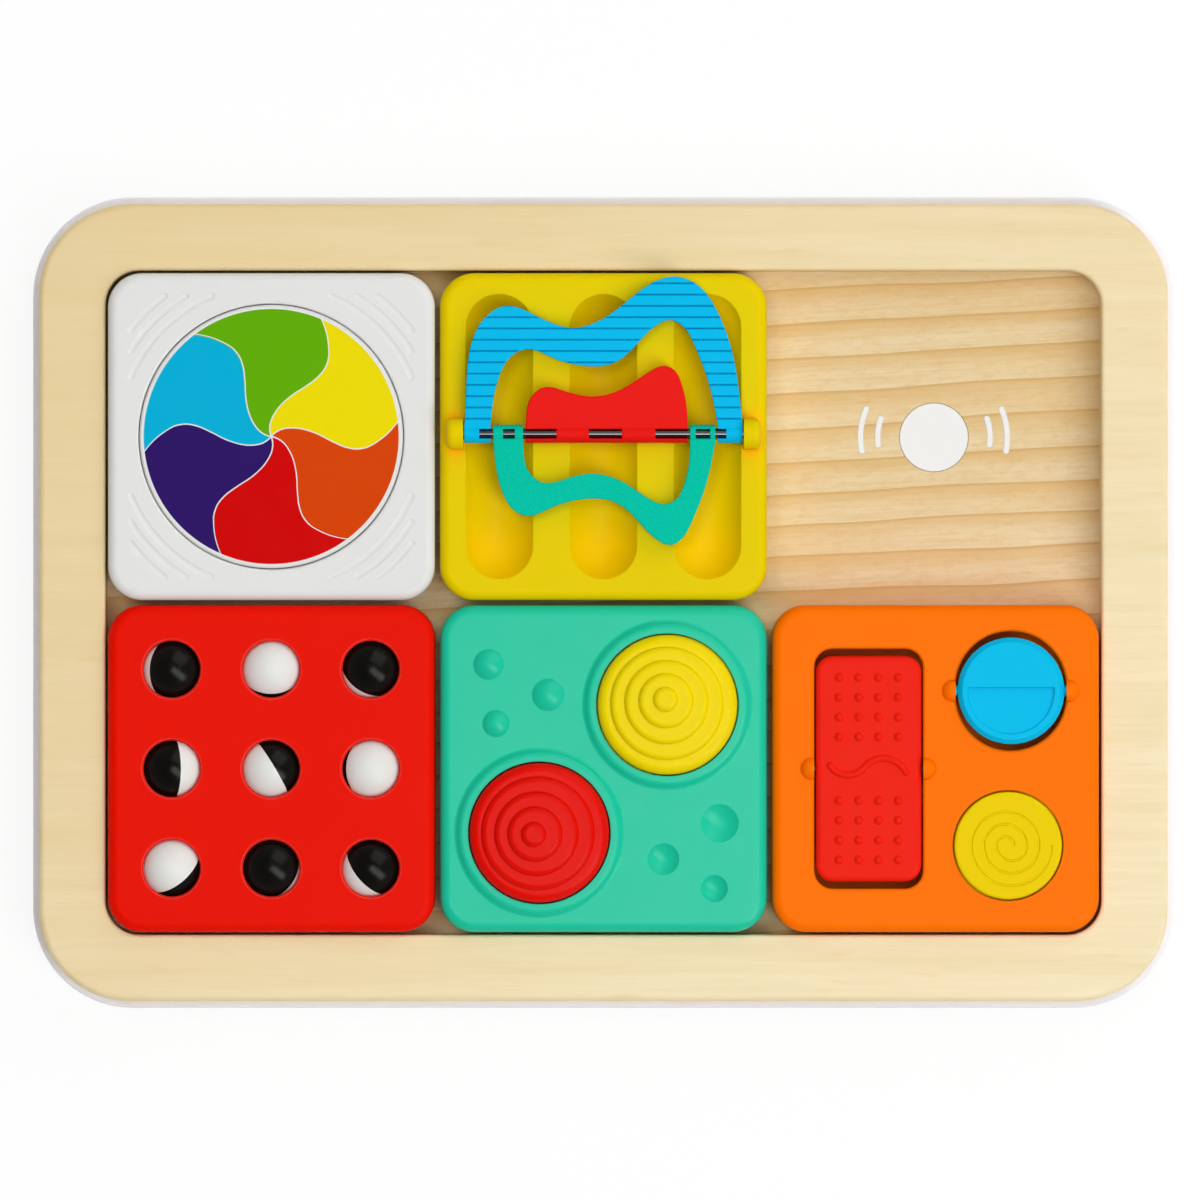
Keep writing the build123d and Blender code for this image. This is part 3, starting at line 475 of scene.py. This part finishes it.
def sandy(name, tone):
    """A page with a sanded face: small grains that catch the light."""
    material, tree, shader = new_finish(name)
    place = own_place(tree)
    grains = speckle(tree, place, SAND_SCALE, detail=3.0, roughness=0.7)
    patches = speckle(tree, place, SAND_PATCH_SCALE, detail=3.0)
    base = blend(tree, patches, shade(tone, SAND_LOW), shade(tone, SAND_HIGH))
    bright = spread(tree, grains, *SAND_RANGE)
    feed(tree, shader.inputs["Base Color"], blend(tree, bright, base, shade(tone, SAND_LIFT)))
    feed(tree, shader.inputs["Roughness"], spread(tree, grains, NOISE_LOW, NOISE_HIGH, *SAND_GLOSS))
    feed(tree, shader.inputs["Normal"], soft_normal(tree, grains, SAND_DEPTH, PAGE_EDGE_ROUND))
    shader.inputs["Specular IOR Level"].default_value = PLASTIC_SHEEN
    return material


def glossy_ball(name, tone):
    """Polished ball plastic with faint scuffs."""
    material, tree, shader = new_finish(name)
    place = own_place(tree)
    patches = speckle(tree, place, BALL_PATCH_SCALE, detail=3.0)
    base = blend(tree, patches, shade(tone, BALL_LOW), shade(tone, BALL_HIGH))
    feed(tree, shader.inputs["Base Color"], base)
    scuffs = drawn_out(tree, place, SCUFF_STRETCH, detail=3.0)
    feed(tree, shader.inputs["Roughness"], spread(tree, scuffs, *SCUFF_RANGE, *BALL_GLOSS))
    feed(tree, shader.inputs["Normal"], soft_normal(tree, scuffs, SCUFF_DEPTH, BALL_EDGE_ROUND))
    shader.inputs["Specular IOR Level"].default_value = BALL_SHEEN
    return material


def birch(name, tone, pale_tone, streak_tone, fleck_tone):
    """Pale sanded birch: one corner paler, soft streaks, fine fibres and short flecks."""
    material, tree, shader = new_finish(name)
    place = own_place(tree)
    streaks = drawn_out(tree, place, STREAK_STRETCH, detail=5.0, roughness=0.6)
    fibres = drawn_out(tree, place, FIBRE_STRETCH, detail=3.0)
    flecks = drawn_out(tree, place, FLECK_STRETCH)
    axes = add_node(tree, "ShaderNodeSeparateXYZ", {0: place}).outputs
    # Paler towards the lower right corner of the rails
    diagonal = reckon(tree, "SUBTRACT", axes["X"], axes["Y"])
    base = blend(tree, spread(tree, diagonal, -PALE_REACH, PALE_REACH), tone, pale_tone)
    base = blend(tree, spread(tree, streaks, *BIRCH_STREAK_SHARE), base, streak_tone)
    base = blend(tree, spread(tree, flecks, *BIRCH_FLECK_SHARE), base, fleck_tone)
    fibre_tone = shade(streak_tone, BIRCH_FIBRE_TONE)
    base = blend(tree, spread(tree, fibres, *BIRCH_FIBRE_SHARE), base, fibre_tone)
    feed(tree, shader.inputs["Base Color"], base)
    feed(tree, shader.inputs["Roughness"], spread(tree, streaks, NOISE_LOW, NOISE_HIGH, *BIRCH_GLOSS))
    feed(tree, shader.inputs["Normal"], soft_normal(tree, fibres, BIRCH_FIBRE_DEPTH, EDGE_ROUND))
    return material


def pine(name, tone, grain_tone):
    """Pine with darker growth lines that rise a little along the board."""
    material, tree, shader = new_finish(name)
    place = mapped(tree, own_place(tree), Rotation=(0.0, 0.0, -GRAIN_RISE))
    inputs = {
        "Vector": mapped(tree, place, Scale=GRAIN_STRETCH),
        "Scale": 2 * math.pi / (WAVE_RADIANS * GRAIN_PITCH),
        "Distortion": GRAIN_WARP,
        "Detail": 2.0,
        "Detail Scale": GRAIN_WARP_SCALE,
        "Detail Roughness": 0.5,
    }
    wave = add_node(tree, "ShaderNodeTexWave", inputs, bands_direction="Y", wave_profile="SAW")
    growth = wave.outputs["Fac"]
    fibres = drawn_out(tree, place, FIBRE_STRETCH, detail=3.0)
    streaks = drawn_out(tree, place, STREAK_STRETCH, detail=4.0)
    mottle = drawn_out(tree, place, MOTTLE_STRETCH, detail=3.0)
    line_tone = shade(grain_tone, PINE_LINE_TONE)
    streak_tone = shade(grain_tone, PINE_STREAK_TONE)
    fibre_tone = shade(grain_tone, PINE_FIBRE_TONE)
    base = blend(tree, spread(tree, growth, *PINE_GROWTH_SHARE), tone, grain_tone)
    base = blend(tree, spread(tree, growth, *PINE_LINE_SHARE), base, line_tone)
    base = blend(tree, spread(tree, streaks, *PINE_STREAK_SHARE), base, streak_tone)
    base = blend(tree, spread(tree, fibres, *PINE_FIBRE_SHARE), base, fibre_tone)
    base = blend(tree, spread(tree, mottle, *PINE_MOTTLE_SHARE), base, grain_tone)
    feed(tree, shader.inputs["Base Color"], base)
    feed(tree, shader.inputs["Roughness"], spread(tree, streaks, NOISE_LOW, NOISE_HIGH, *PINE_GLOSS))
    feed(tree, shader.inputs["Normal"], soft_normal(tree, fibres, PINE_FIBRE_DEPTH, EDGE_ROUND))
    return material


def painted(name, tone, mottle_scale, roughness):
    """Even paint with a faint orange peel."""
    material, tree, shader = new_finish(name)
    place = own_place(tree)
    mottle = speckle(tree, place, mottle_scale, detail=4.0)
    base = blend(tree, mottle, shade(tone, PAINT_LOW), shade(tone, PAINT_HIGH))
    feed(tree, shader.inputs["Base Color"], base)
    gloss = (roughness - PAINT_REACH, roughness + PAINT_REACH)
    feed(tree, shader.inputs["Roughness"], spread(tree, mottle, NOISE_LOW, NOISE_HIGH, *gloss))
    peel = speckle(tree, place, PEEL_SCALE)
    feed(tree, shader.inputs["Normal"], soft_normal(tree, peel, PEEL_DEPTH, EDGE_ROUND))
    return material


def bright_metal(name, tone, gloss, stretch):
    """Metal with fine drawn lines."""
    material, tree, shader = new_finish(name)
    lines = drawn_out(tree, own_place(tree), stretch, detail=3.0)
    feed(tree, shader.inputs["Base Color"], blend(tree, lines, shade(tone, METAL_LOW), tone))
    shader.inputs["Metallic"].default_value = 1.0
    feed(tree, shader.inputs["Roughness"], spread(tree, lines, NOISE_LOW, NOISE_HIGH, *gloss))
    feed(tree, shader.inputs["Normal"], soft_normal(tree, lines, METAL_LINE_DEPTH, METAL_EDGE_ROUND))
    return material


def pinwheel(name, plain, sectors, centre, face, radius, line):
    """White plastic with a print of leaning sectors on its upper face, and pale lines between them."""
    material, tree, shader = new_finish(name)
    whole = own_place(tree)
    place = mapped(tree, whole, Location=(-centre.x, -centre.y, 0.0))
    along, across, height = add_node(tree, "ShaderNodeSeparateXYZ", {0: place}).outputs
    squares = [reckon(tree, "POWER", value, 2.0) for value in (along, across)]
    distance = reckon(tree, "SQRT", reckon(tree, "ADD", *squares))
    share = reckon(tree, "DIVIDE", distance, radius)
    curve = add_node(tree, "ShaderNodeFloatCurve", {"Value": share})
    points = curve.mapping.curves[0].points
    while len(points) < len(PINWHEEL_LEAN):
        points.new(0.5, 0.5)
    for point, (at, lean) in zip(points, PINWHEEL_LEAN):
        point.location = (at, (lean + PINWHEEL_LEAN_LIMIT) / (2 * PINWHEEL_LEAN_LIMIT))
    curve.mapping.update()
    limit = math.radians(PINWHEEL_LEAN_LIMIT)
    lean = spread(tree, curve.outputs[0], 0.0, 1.0, -limit, limit)
    angle = reckon(tree, "SUBTRACT", reckon(tree, "ARCTAN2", across, along), lean)
    angle = reckon(tree, "SUBTRACT", angle, math.radians(PINWHEEL_START))
    turns = reckon(tree, "FRACT", reckon(tree, "DIVIDE", angle, 2 * math.pi))
    pick = add_node(tree, "ShaderNodeValToRGB", {0: turns})
    pick.color_ramp.interpolation = "CONSTANT"
    stops = pick.color_ramp.elements
    while len(stops) < PINWHEEL_SECTORS:
        stops.new(0.5)
    for number, (stop, tone) in enumerate(zip(stops, sectors)):
        stop.position = number / PINWHEEL_SECTORS
        stop.color = (*tone, 1.0)
    step = reckon(tree, "FRACT", reckon(tree, "MULTIPLY", turns, float(PINWHEEL_SECTORS)))
    side = reckon(tree, "MINIMUM", step, reckon(tree, "SUBTRACT", 1.0, step))
    side = reckon(tree, "MULTIPLY", side, 2 * math.pi / PINWHEEL_SECTORS)
    gap = reckon(tree, "MULTIPLY", side, distance)
    ink = spread(tree, gap, *[line * edge for edge in PINWHEEL_LINE_EDGES])
    blur = line * PINWHEEL_RIM_BLUR
    inside = spread(tree, distance, radius + blur, radius - blur)
    on_face = reckon(tree, "GREATER_THAN", height, face)
    ink = reckon(tree, "MULTIPLY", reckon(tree, "MULTIPLY", ink, inside), on_face)
    patches = speckle(tree, whole, TONE_SCALE, detail=3.0)
    bare = blend(tree, patches, shade(plain, TONE_LOW), shade(plain, TONE_HIGH))
    feed(tree, shader.inputs["Base Color"], blend(tree, ink, bare, pick.outputs[0]))
    haze = speckle(tree, whole, HAZE_SCALE, detail=4.0)
    feed(tree, shader.inputs["Roughness"], spread(tree, haze, NOISE_LOW, NOISE_HIGH, *DISC_GLOSS))
    pores = speckle(tree, whole, PORE_SCALE)
    feed(tree, shader.inputs["Normal"], soft_normal(tree, pores, PORE_DEPTH, EDGE_ROUND))
    shader.inputs["Specular IOR Level"].default_value = PLASTIC_SHEEN
    return material


def wear(material, *names):
    """Give CAD nodes a finish."""
    for name in names:
        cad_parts[name].material_slots[0].material = material


def middle(name):
    """The middle of a CAD node."""
    low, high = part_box(name)
    return (low + high) / 2


# Meshes of the new pieces


def new_piece(name, mesh, material, body):
    """A finished piece from a bmesh, at the origin, riding on a body."""
    data = bpy.data.meshes.new(name)
    mesh.to_mesh(data)
    mesh.free()
    data.materials.append(material)
    piece = bpy.data.objects.new(name, data)
    bpy.context.scene.collection.objects.link(piece)
    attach(piece, body)
    return piece


def verts_of(parts):
    """The vertices among an operator's results."""
    return [part for part in parts if isinstance(part, bmesh.types.BMVert)]


def add_arc(mesh, centre, radius, heading, span, stroke):
    """Add one flat arc with round ends, from a point that is spun round its outline."""
    start = heading - span / 2

    def at(distance, angle):
        return centre + Vector((distance * math.cos(angle), distance * math.sin(angle), 0.0))

    tip = bmesh.ops.create_vert(mesh, co=at(radius + stroke / 2, start))["vert"]
    runs = (
        (centre, span, ARC_STEPS),
        (at(radius, start + span), math.pi, CAP_STEPS),
        (centre, -span, ARC_STEPS),
        (at(radius, start), math.pi, CAP_STEPS),
    )
    for pivot, angle, steps in runs:
        tip = bmesh.ops.spin(mesh, geom=tip, cent=pivot, axis=UP, angle=angle, steps=steps)["geom_last"]
    outline = [vertex for vertex in mesh.verts if vertex.is_wire]
    bmesh.ops.remove_doubles(mesh, verts=outline, dist=stroke * MERGE_SHARE)
    bmesh.ops.contextual_create(mesh, geom=[edge for edge in mesh.edges if edge.is_wire])


def thicken(mesh, film):
    """Give a flat mesh a thickness upwards."""
    raised = verts_of(bmesh.ops.extrude_face_region(mesh, geom=mesh.faces[:])["geom"])
    bmesh.ops.translate(mesh, verts=raised, vec=(0.0, 0.0, film))
    bmesh.ops.recalc_face_normals(mesh, faces=mesh.faces[:])


def screw_shape(head, head_height, shank, reach):
    """One screw at the origin, head down, with a cross recess in its face."""
    mesh = bmesh.new()
    bmesh.ops.create_circle(mesh, cap_ends=True, segments=SCREW_SIDES, radius=head)
    arm = head * CROSS_REACH
    slot = head * CROSS_SLOT
    for normal in ((1.0, 0.0, 0.0), (0.0, 1.0, 0.0)):
        for offset in (-arm, -slot, slot, arm):
            whole = mesh.verts[:] + mesh.edges[:] + mesh.faces[:]
            point = [offset * value for value in normal]
            bmesh.ops.bisect_plane(
                mesh, geom=whole, dist=slot * MERGE_SHARE, plane_co=point, plane_no=normal
            )
    cross = []
    for face in mesh.faces:
        near, far = sorted(abs(value) for value in face.calc_center_median()[:2])
        if near < slot and far < arm:
            cross.append(face)
    sunk = verts_of(bmesh.ops.extrude_face_region(mesh, geom=cross)["geom"])
    bmesh.ops.delete(mesh, geom=cross, context="FACES")
    bmesh.ops.scale(mesh, verts=sunk, vec=(CROSS_TAPER, CROSS_TAPER, 1.0))
    bmesh.ops.translate(mesh, verts=sunk, vec=(0.0, 0.0, head_height * CROSS_DEPTH))
    steps = (
        (shank / head, head_height),
        (1.0, reach - head_height - shank),
        (POINT_SHARE, shank),
    )
    for share, rise in steps:
        rim = [edge for edge in mesh.edges if edge.is_boundary]
        grown = verts_of(bmesh.ops.extrude_edge_only(mesh, edges=rim)["geom"])
        bmesh.ops.scale(mesh, verts=grown, vec=(share, share, 1.0))
        bmesh.ops.translate(mesh, verts=grown, vec=(0.0, 0.0, rise))
    rim = [edge for edge in mesh.edges if edge.is_boundary]
    bmesh.ops.holes_fill(mesh, edges=rim, sides=len(rim))
    bmesh.ops.recalc_face_normals(mesh, faces=mesh.faces[:])
    data = bpy.data.meshes.new("screw")
    mesh.to_mesh(data)
    mesh.free()
    return data


def make_screws(name, node, body, places, head, head_height, shank):
    """Screws that stand for a CAD node of plain ones."""
    low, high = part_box(node)
    shape = screw_shape(head, head_height, shank, high.z - low.z)
    mesh = bmesh.new()
    for x, y in places:
        start = len(mesh.verts)
        mesh.from_mesh(shape)
        bmesh.ops.translate(mesh, verts=mesh.verts[start:], vec=(x, y, low.z))
    bpy.data.meshes.remove(shape)
    steel = bpy.data.materials["turned_steel"]
    piece = new_piece(name, mesh, steel, body)
    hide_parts(node)


# Floor, sky and lamps


def add_floor(tone):
    """A plain pale floor that the camera sees as white and that keeps the shadow."""
    mesh = bmesh.new()
    bmesh.ops.create_grid(mesh, x_segments=1, y_segments=1, size=FLOOR_REACH)
    bmesh.ops.translate(mesh, verts=mesh.verts[:], vec=(0.0, 0.0, -FLOOR_DROP))
    data = bpy.data.meshes.new("studio_floor")
    mesh.to_mesh(data)
    mesh.free()
    material = bpy.data.materials.new("studio_floor")
    material.use_nodes = True
    tree = material.node_tree
    tree.nodes.clear()
    path = add_node(tree, "ShaderNodeLightPath").outputs
    seen = reckon(tree, "MAXIMUM", path["Is Camera Ray"], path["Is Glossy Ray"])
    seen = reckon(tree, "MAXIMUM", seen, path["Is Transmission Ray"])
    matt = add_node(tree, "ShaderNodeBsdfDiffuse", {"Color": (*tone, 1.0)}).outputs[0]
    glow = add_node(tree, "ShaderNodeEmission", {"Color": WHITE, "Strength": 1.0}).outputs[0]
    share = reckon(tree, "MULTIPLY", seen, FLOOR_GLOW)
    both = add_node(tree, "ShaderNodeMixShader", {0: share, 1: matt, 2: glow}).outputs[0]
    add_node(tree, "ShaderNodeOutputMaterial", {"Surface": both})
    data.materials.append(material)
    floor = bpy.data.objects.new("studio_floor", data)
    bpy.context.scene.collection.objects.link(floor)


def add_sky():
    """A soft even sky, brighter towards the horizon."""
    world = bpy.data.worlds.new("studio_sky")
    world.use_nodes = True
    tree = world.node_tree
    direction = add_node(tree, "ShaderNodeTexCoord").outputs["Generated"]
    rise = add_node(tree, "ShaderNodeSeparateXYZ", {0: direction}).outputs[2]
    level = spread(tree, rise, 0.0, 1.0, SKY_SIDE, SKY_TOP)
    feed(tree, tree.nodes["Background"].inputs["Strength"], level)
    tree.nodes["Background"].inputs["Color"].default_value = WHITE
    bpy.context.scene.world = world


def add_lamp(name, place, size, power, mirrored=True):
    """A soft rectangular lamp that faces the tablet, and shows in glossy pieces where it is mirrored."""
    lamp = bpy.data.lights.new(name, "AREA")
    lamp.shape = "RECTANGLE"
    lamp.size, lamp.size_y = size
    lamp.energy = power
    holder = bpy.data.objects.new(name, lamp)
    holder.visible_glossy = mirrored
    aim = (-Vector(place)).to_track_quat("-Z", "Y").to_matrix().to_4x4()
    holder.matrix_world = Matrix.Translation(place) @ aim
    bpy.context.scene.collection.objects.link(holder)


# Steps that dress the tablet


class SetStage(bpy.types.Operator):
    """Set the floor, the soft lamps, the sky and the camera straight above the tablet"""

    bl_idname = "tablet.set_stage"
    bl_label = "Set the stage"

    def execute(self, context):
        sizes = context.scene.tablet_sizes
        add_floor(context.scene.tablet_colours.floor[:])
        add_sky()
        add_lamp("key_lamp", KEY_PLACE, KEY_SIZE, KEY_POWER)
        add_lamp("fill_lamp", FILL_PLACE, FILL_SIZE, FILL_POWER)
        add_lamp("top_lamp", TOP_PLACE, TOP_SIZE, TOP_POWER, mirrored=False)
        view = bpy.data.cameras.new("camera")
        view.lens = sizes.camera_lens
        camera = bpy.data.objects.new("camera", view)
        camera.location = (sizes.camera_aside, sizes.camera_away, sizes.camera_height)
        context.scene.collection.objects.link(camera)
        context.scene.camera = camera
        context.scene.view_settings.view_transform = "Standard"
        return {"FINISHED"}


class DressTray(bpy.types.Operator):
    """Finish the rails, the floor, the backing board and the discs, and make the steel of the screws"""

    bl_idname = "tablet.dress_tray"
    bl_label = "Dress the tray"

    def execute(self, context):
        tones = context.scene.tablet_colours
        rail = birch(
            "sanded_birch", tones.rail[:], tones.rail_pale[:], tones.rail_streak[:], tones.rail_fleck[:]
        )
        wear(rail, "rail_frame")
        wear(pine("pine_floor", tones.base[:], tones.base_grain[:]), "base_panel")
        board = painted("backing_paint", tones.backing[:], BOARD_MOTTLE_SCALE, BOARD_PAINT)
        wear(board, "backing_board")
        wear(painted("disc_paint", tones.disc[:], DISC_MOTTLE_SCALE, DISC_PAINT), "bay_discs")
        bright_metal("turned_steel", tones.steel[:], STEEL_GLOSS, STEEL_STRETCH)
        return {"FINISHED"}


class PaintBayArcs(bpy.types.Operator):
    """Paint the arcs on both sides of the disc in the empty bay"""

    bl_idname = "tablet.paint_bay_arcs"
    bl_label = "Paint the bay arcs"

    def execute(self, context):
        sizes = context.scene.tablet_sizes
        tile = middle("spinner_tile_shell")
        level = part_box("base_panel")[1].z
        centre = Vector((-tile.x, tile.y, level))
        mesh = bmesh.new()
        for heading in (ARC_LIFT, math.pi - ARC_LIFT):
            add_arc(mesh, centre, sizes.near_arc_radius, heading, sizes.near_arc_span, sizes.arc_stroke)
            add_arc(mesh, centre, sizes.far_arc_radius, heading, sizes.far_arc_span, sizes.arc_stroke)
        thicken(mesh, sizes.arc_film)
        new_piece("bay_arcs", mesh, bpy.data.materials["disc_paint"], "tray")
        return {"FINISHED"}


class MakeScrews(bpy.types.Operator):
    """Make the cross-head screws under the tray and under every tile"""

    bl_idname = "tablet.make_screws"
    bl_label = "Make the screws"

    def execute(self, context):
        sizes = context.scene.tablet_sizes
        head = sizes.tray_screw_head
        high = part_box("tray_screws")[1]
        across = high.y - head
        rail_low, rail_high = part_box("rail_frame")
        corner = TRAY_SCREW_SHARE * (rail_high.x - rail_low.x)
        places = [(side * corner, end * across) for side in (-1, 1) for end in (-1, 1)]
        places += [(0.0, end * across) for end in (-1, 1)]
        places += [(side * (high.x - head), 0.0) for side in (-1, 1)]
        make_screws(
            "tray_screw_set", "tray_screws", "tray", places, head,
            sizes.tray_screw_height, sizes.tray_screw_shank,
        )
        head = sizes.cover_screw_head
        for tile in TILES:
            low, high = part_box(f"{tile}_cover_screws")
            sides = (low.x + head, high.x - head)
            ends = (low.y + head, high.y - head)
            places = [(x, y) for x in sides for y in ends]
            make_screws(
                f"{tile}_cover_screw_set", f"{tile}_cover_screws", tile, places, head,
                sizes.cover_screw_height, sizes.cover_screw_shank,
            )
        return {"FINISHED"}


class DressTileInsides(bpy.types.Operator):
    """Give every magnet and the washer, screw and pin inside the tiles their finish"""

    bl_idname = "tablet.dress_tile_insides"
    bl_label = "Dress the tile insides"

    def execute(self, context):
        tones = context.scene.tablet_colours
        magnet = bright_metal("magnet_grey", tones.magnet[:], MAGNET_GLOSS, MAGNET_STRETCH)
        wear(magnet, *[f"{tile}_magnet" for tile in TILES])
        wear(bpy.data.materials["turned_steel"], "spinner_washer", "spinner_screw")
        wear(bright_metal("dull_pin", tones.pin[:], PIN_GLOSS, PIN_STRETCH), "rocker_pin")
        return {"FINISHED"}


class DressSpinnerTile(bpy.types.Operator):
    """Give the white tile its plastic and print the pinwheel on its disc"""

    bl_idname = "tablet.dress_spinner_tile"
    bl_label = "Dress the spinner tile"

    def execute(self, context):
        tones = context.scene.tablet_colours
        sizes = context.scene.tablet_sizes
        white = moulded("white_plastic", tones.white_tile[:], MATT_PLASTIC)
        wear(white, "spinner_tile_shell", "spinner_tile_cover")
        sectors = (
            tones.sector_yellow[:], tones.sector_green[:], tones.sector_blue[:],
            tones.sector_purple[:], tones.sector_red[:], tones.sector_orange[:],
        )
        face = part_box("spinner_disc")[1].z - EDGE_ROUND
        print_finish = pinwheel(
            "pinwheel_print", tones.spinner[:], sectors, middle("spinner_disc"), face,
            sizes.pinwheel_radius, sizes.pinwheel_line,
        )
        wear(print_finish, "spinner_disc")
        return {"FINISHED"}


class DressPageTile(bpy.types.Operator):
    """Give the yellow tile, its rod and its three pages their finish"""

    bl_idname = "tablet.dress_page_tile"
    bl_label = "Dress the page tile"

    def execute(self, context):
        tones = context.scene.tablet_colours
        # The yellow tile gets painted shade in its hollows
        yellow = moulded(
            "yellow_plastic", tones.yellow_tile[:], SATIN_PLASTIC, painted_shade_tone=tones.yellow_painted_shade[:]
        )
        wear(yellow, "page_tile_shell", "page_tile_cover")
        wear(bright_metal("chrome_rod", tones.chrome[:], ROD_GLOSS, ROD_STRETCH), "page_rod")
        blue = moulded("blue_page_plastic", tones.blue_page[:], MATT_PLASTIC, BLUE_EDGE_ROUND)
        wear(blue, "blue_page")
        wear(sandy("teal_page_plastic", tones.teal_page[:]), "teal_page")
        red = moulded("red_page_plastic", tones.red_page[:], GLOSSY_PLASTIC, PAGE_EDGE_ROUND)
        wear(red, "red_page")
        return {"FINISHED"}


class DressBallTile(bpy.types.Operator):
    """Give the red tile and its nine balls their finish"""

    bl_idname = "tablet.dress_ball_tile"
    bl_label = "Dress the ball tile"

    def execute(self, context):
        tones = context.scene.tablet_colours
        # The red tile gets a painted highlight along its sharp edges
        red = moulded("red_plastic", tones.red_tile[:], RED_PLASTIC, EDGE_ROUND_AND_HIGHLIGHT_REACH, tones.red_edge_highlight[:])
        wear(red, "ball_tile_shell", "ball_tile_cover", "ball_cradle")
        balls = [f"ball_{row}{column}" for row in (1, 2, 3) for column in (1, 2, 3)]
        white = glossy_ball("white_ball_gloss", tones.white_ball[:])
        wear(white, *[f"{ball}_white_half" for ball in balls])
        black = glossy_ball("black_ball_gloss", tones.black_ball[:])
        wear(black, *[f"{ball}_black_half" for ball in balls])
        return {"FINISHED"}


class DressKnobTile(bpy.types.Operator):
    """Give the teal tile and its two rippled domes their finish"""

    bl_idname = "tablet.dress_knob_tile"
    bl_label = "Dress the dome tile"

    def execute(self, context):
        tones = context.scene.tablet_colours
        teal = moulded("teal_plastic", tones.teal_tile[:], TEAL_PLASTIC, sheen=TEAL_SHEEN)
        wear(teal, "knob_tile_shell", "knob_tile_cover")
        red = moulded("red_dome_plastic", tones.red_knob[:], GLOSSY_PLASTIC, sheen=DOME_SHEEN)
        wear(red, "red_knob")
        yellow = moulded("yellow_dome_plastic", tones.yellow_knob[:], GLOSSY_PLASTIC, sheen=DOME_SHEEN)
        wear(yellow, "yellow_knob")
        return {"FINISHED"}


class DressSwitchTile(bpy.types.Operator):
    """Give the orange tile, its rocker, its flip disc and its button their finish"""

    bl_idname = "tablet.dress_switch_tile"
    bl_label = "Dress the switch tile"

    def execute(self, context):
        tones = context.scene.tablet_colours
        orange = moulded("orange_plastic", tones.orange_tile[:], SATIN_PLASTIC)
        wear(orange, "switch_tile_shell", "switch_tile_cover")
        wear(moulded("rocker_plastic", tones.rocker[:], SATIN_PLASTIC), "rocker")
        wear(moulded("flip_disc_plastic", tones.flip_disc[:], SMOOTH_PLASTIC), "flip_disc")
        wear(moulded("button_plastic", tones.button[:], SATIN_PLASTIC), "push_button")
        return {"FINISHED"}


class WindSpring(bpy.types.Operator):
    """Wind the coil spring under the push button"""

    bl_idname = "tablet.wind_spring"
    bl_label = "Wind the button spring"

    def execute(self, context):
        sizes = context.scene.tablet_sizes
        low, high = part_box("button_spring")
        wire = sizes.spring_wire
        turns = sizes.spring_turns
        steps = turns * TURN_STEPS
        rise = (high.z - low.z - 2 * wire) / steps
        mesh = bmesh.new()
        section = bmesh.ops.create_circle(mesh, segments=WIRE_SIDES, radius=wire)["verts"]
        upright = Matrix.Rotation(math.pi / 2, 3, "X")
        bmesh.ops.rotate(mesh, verts=section, cent=(0.0, 0.0, 0.0), matrix=upright)
        bmesh.ops.translate(mesh, verts=section, vec=(sizes.spring_radius, 0.0, wire))
        bmesh.ops.spin(
            mesh, geom=mesh.verts[:] + mesh.edges[:], cent=(0.0, 0.0, 0.0), axis=UP,
            dvec=(0.0, 0.0, rise), angle=turns * 2 * math.pi, steps=steps,
        )
        ends = [edge for edge in mesh.edges if edge.is_boundary]
        bmesh.ops.holes_fill(mesh, edges=ends, sides=WIRE_SIDES)
        bmesh.ops.recalc_face_normals(mesh, faces=mesh.faces[:])
        centre = middle("button_spring")
        bmesh.ops.translate(mesh, verts=mesh.verts[:], vec=(centre.x, centre.y, low.z))
        for face in mesh.faces:
            face.smooth = True
        steel = bpy.data.materials["turned_steel"]
        spring = new_piece("coil_spring", mesh, steel, "switch_tile")
        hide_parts("button_spring")
        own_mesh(spring)
        return {"FINISHED"}


STEPS = (
    SetStage, DressTray, PaintBayArcs, MakeScrews, DressTileInsides, DressSpinnerTile, DressPageTile,
    DressBallTile, DressKnobTile, DressSwitchTile, WindSpring,
)


class TabletPanel(bpy.types.Panel):
    """The steps that dress the tablet, in order."""

    bl_idname = "VIEW3D_PT_tablet"
    bl_label = "Tile tablet"
    bl_space_type = "VIEW_3D"
    bl_region_type = "UI"
    bl_category = "Tablet"

    def draw(self, context):
        for step in STEPS:
            self.layout.operator(step.bl_idname)
        for group in (context.scene.tablet_sizes, context.scene.tablet_colours):
            for name in group.bl_rna.properties.keys():
                if name not in ("rna_type", "name"):
                    self.layout.prop(group, name)


CLASSES = (TabletColours, TabletSizes, *STEPS, TabletPanel)


def register():
    """Add the classes and the tablet's settings."""
    for item in CLASSES:
        bpy.utils.register_class(item)
    bpy.types.Scene.tablet_colours = PointerProperty(type=TabletColours)
    bpy.types.Scene.tablet_sizes = PointerProperty(type=TabletSizes)


def unregister():
    """Take the classes and the settings away."""
    del bpy.types.Scene.tablet_sizes
    del bpy.types.Scene.tablet_colours
    for item in reversed(CLASSES):
        bpy.utils.unregister_class(item)


def main():
    """Dress the tablet step by step."""
    register()
    bpy.ops.tablet.set_stage()
    bpy.ops.tablet.dress_tray()
    bpy.ops.tablet.paint_bay_arcs()
    bpy.ops.tablet.make_screws()
    bpy.ops.tablet.dress_tile_insides()
    bpy.ops.tablet.dress_spinner_tile()
    bpy.ops.tablet.dress_page_tile()
    bpy.ops.tablet.dress_ball_tile()
    bpy.ops.tablet.dress_knob_tile()
    bpy.ops.tablet.dress_switch_tile()
    bpy.ops.tablet.wind_spring()


if __name__ == "__main__":
    main()
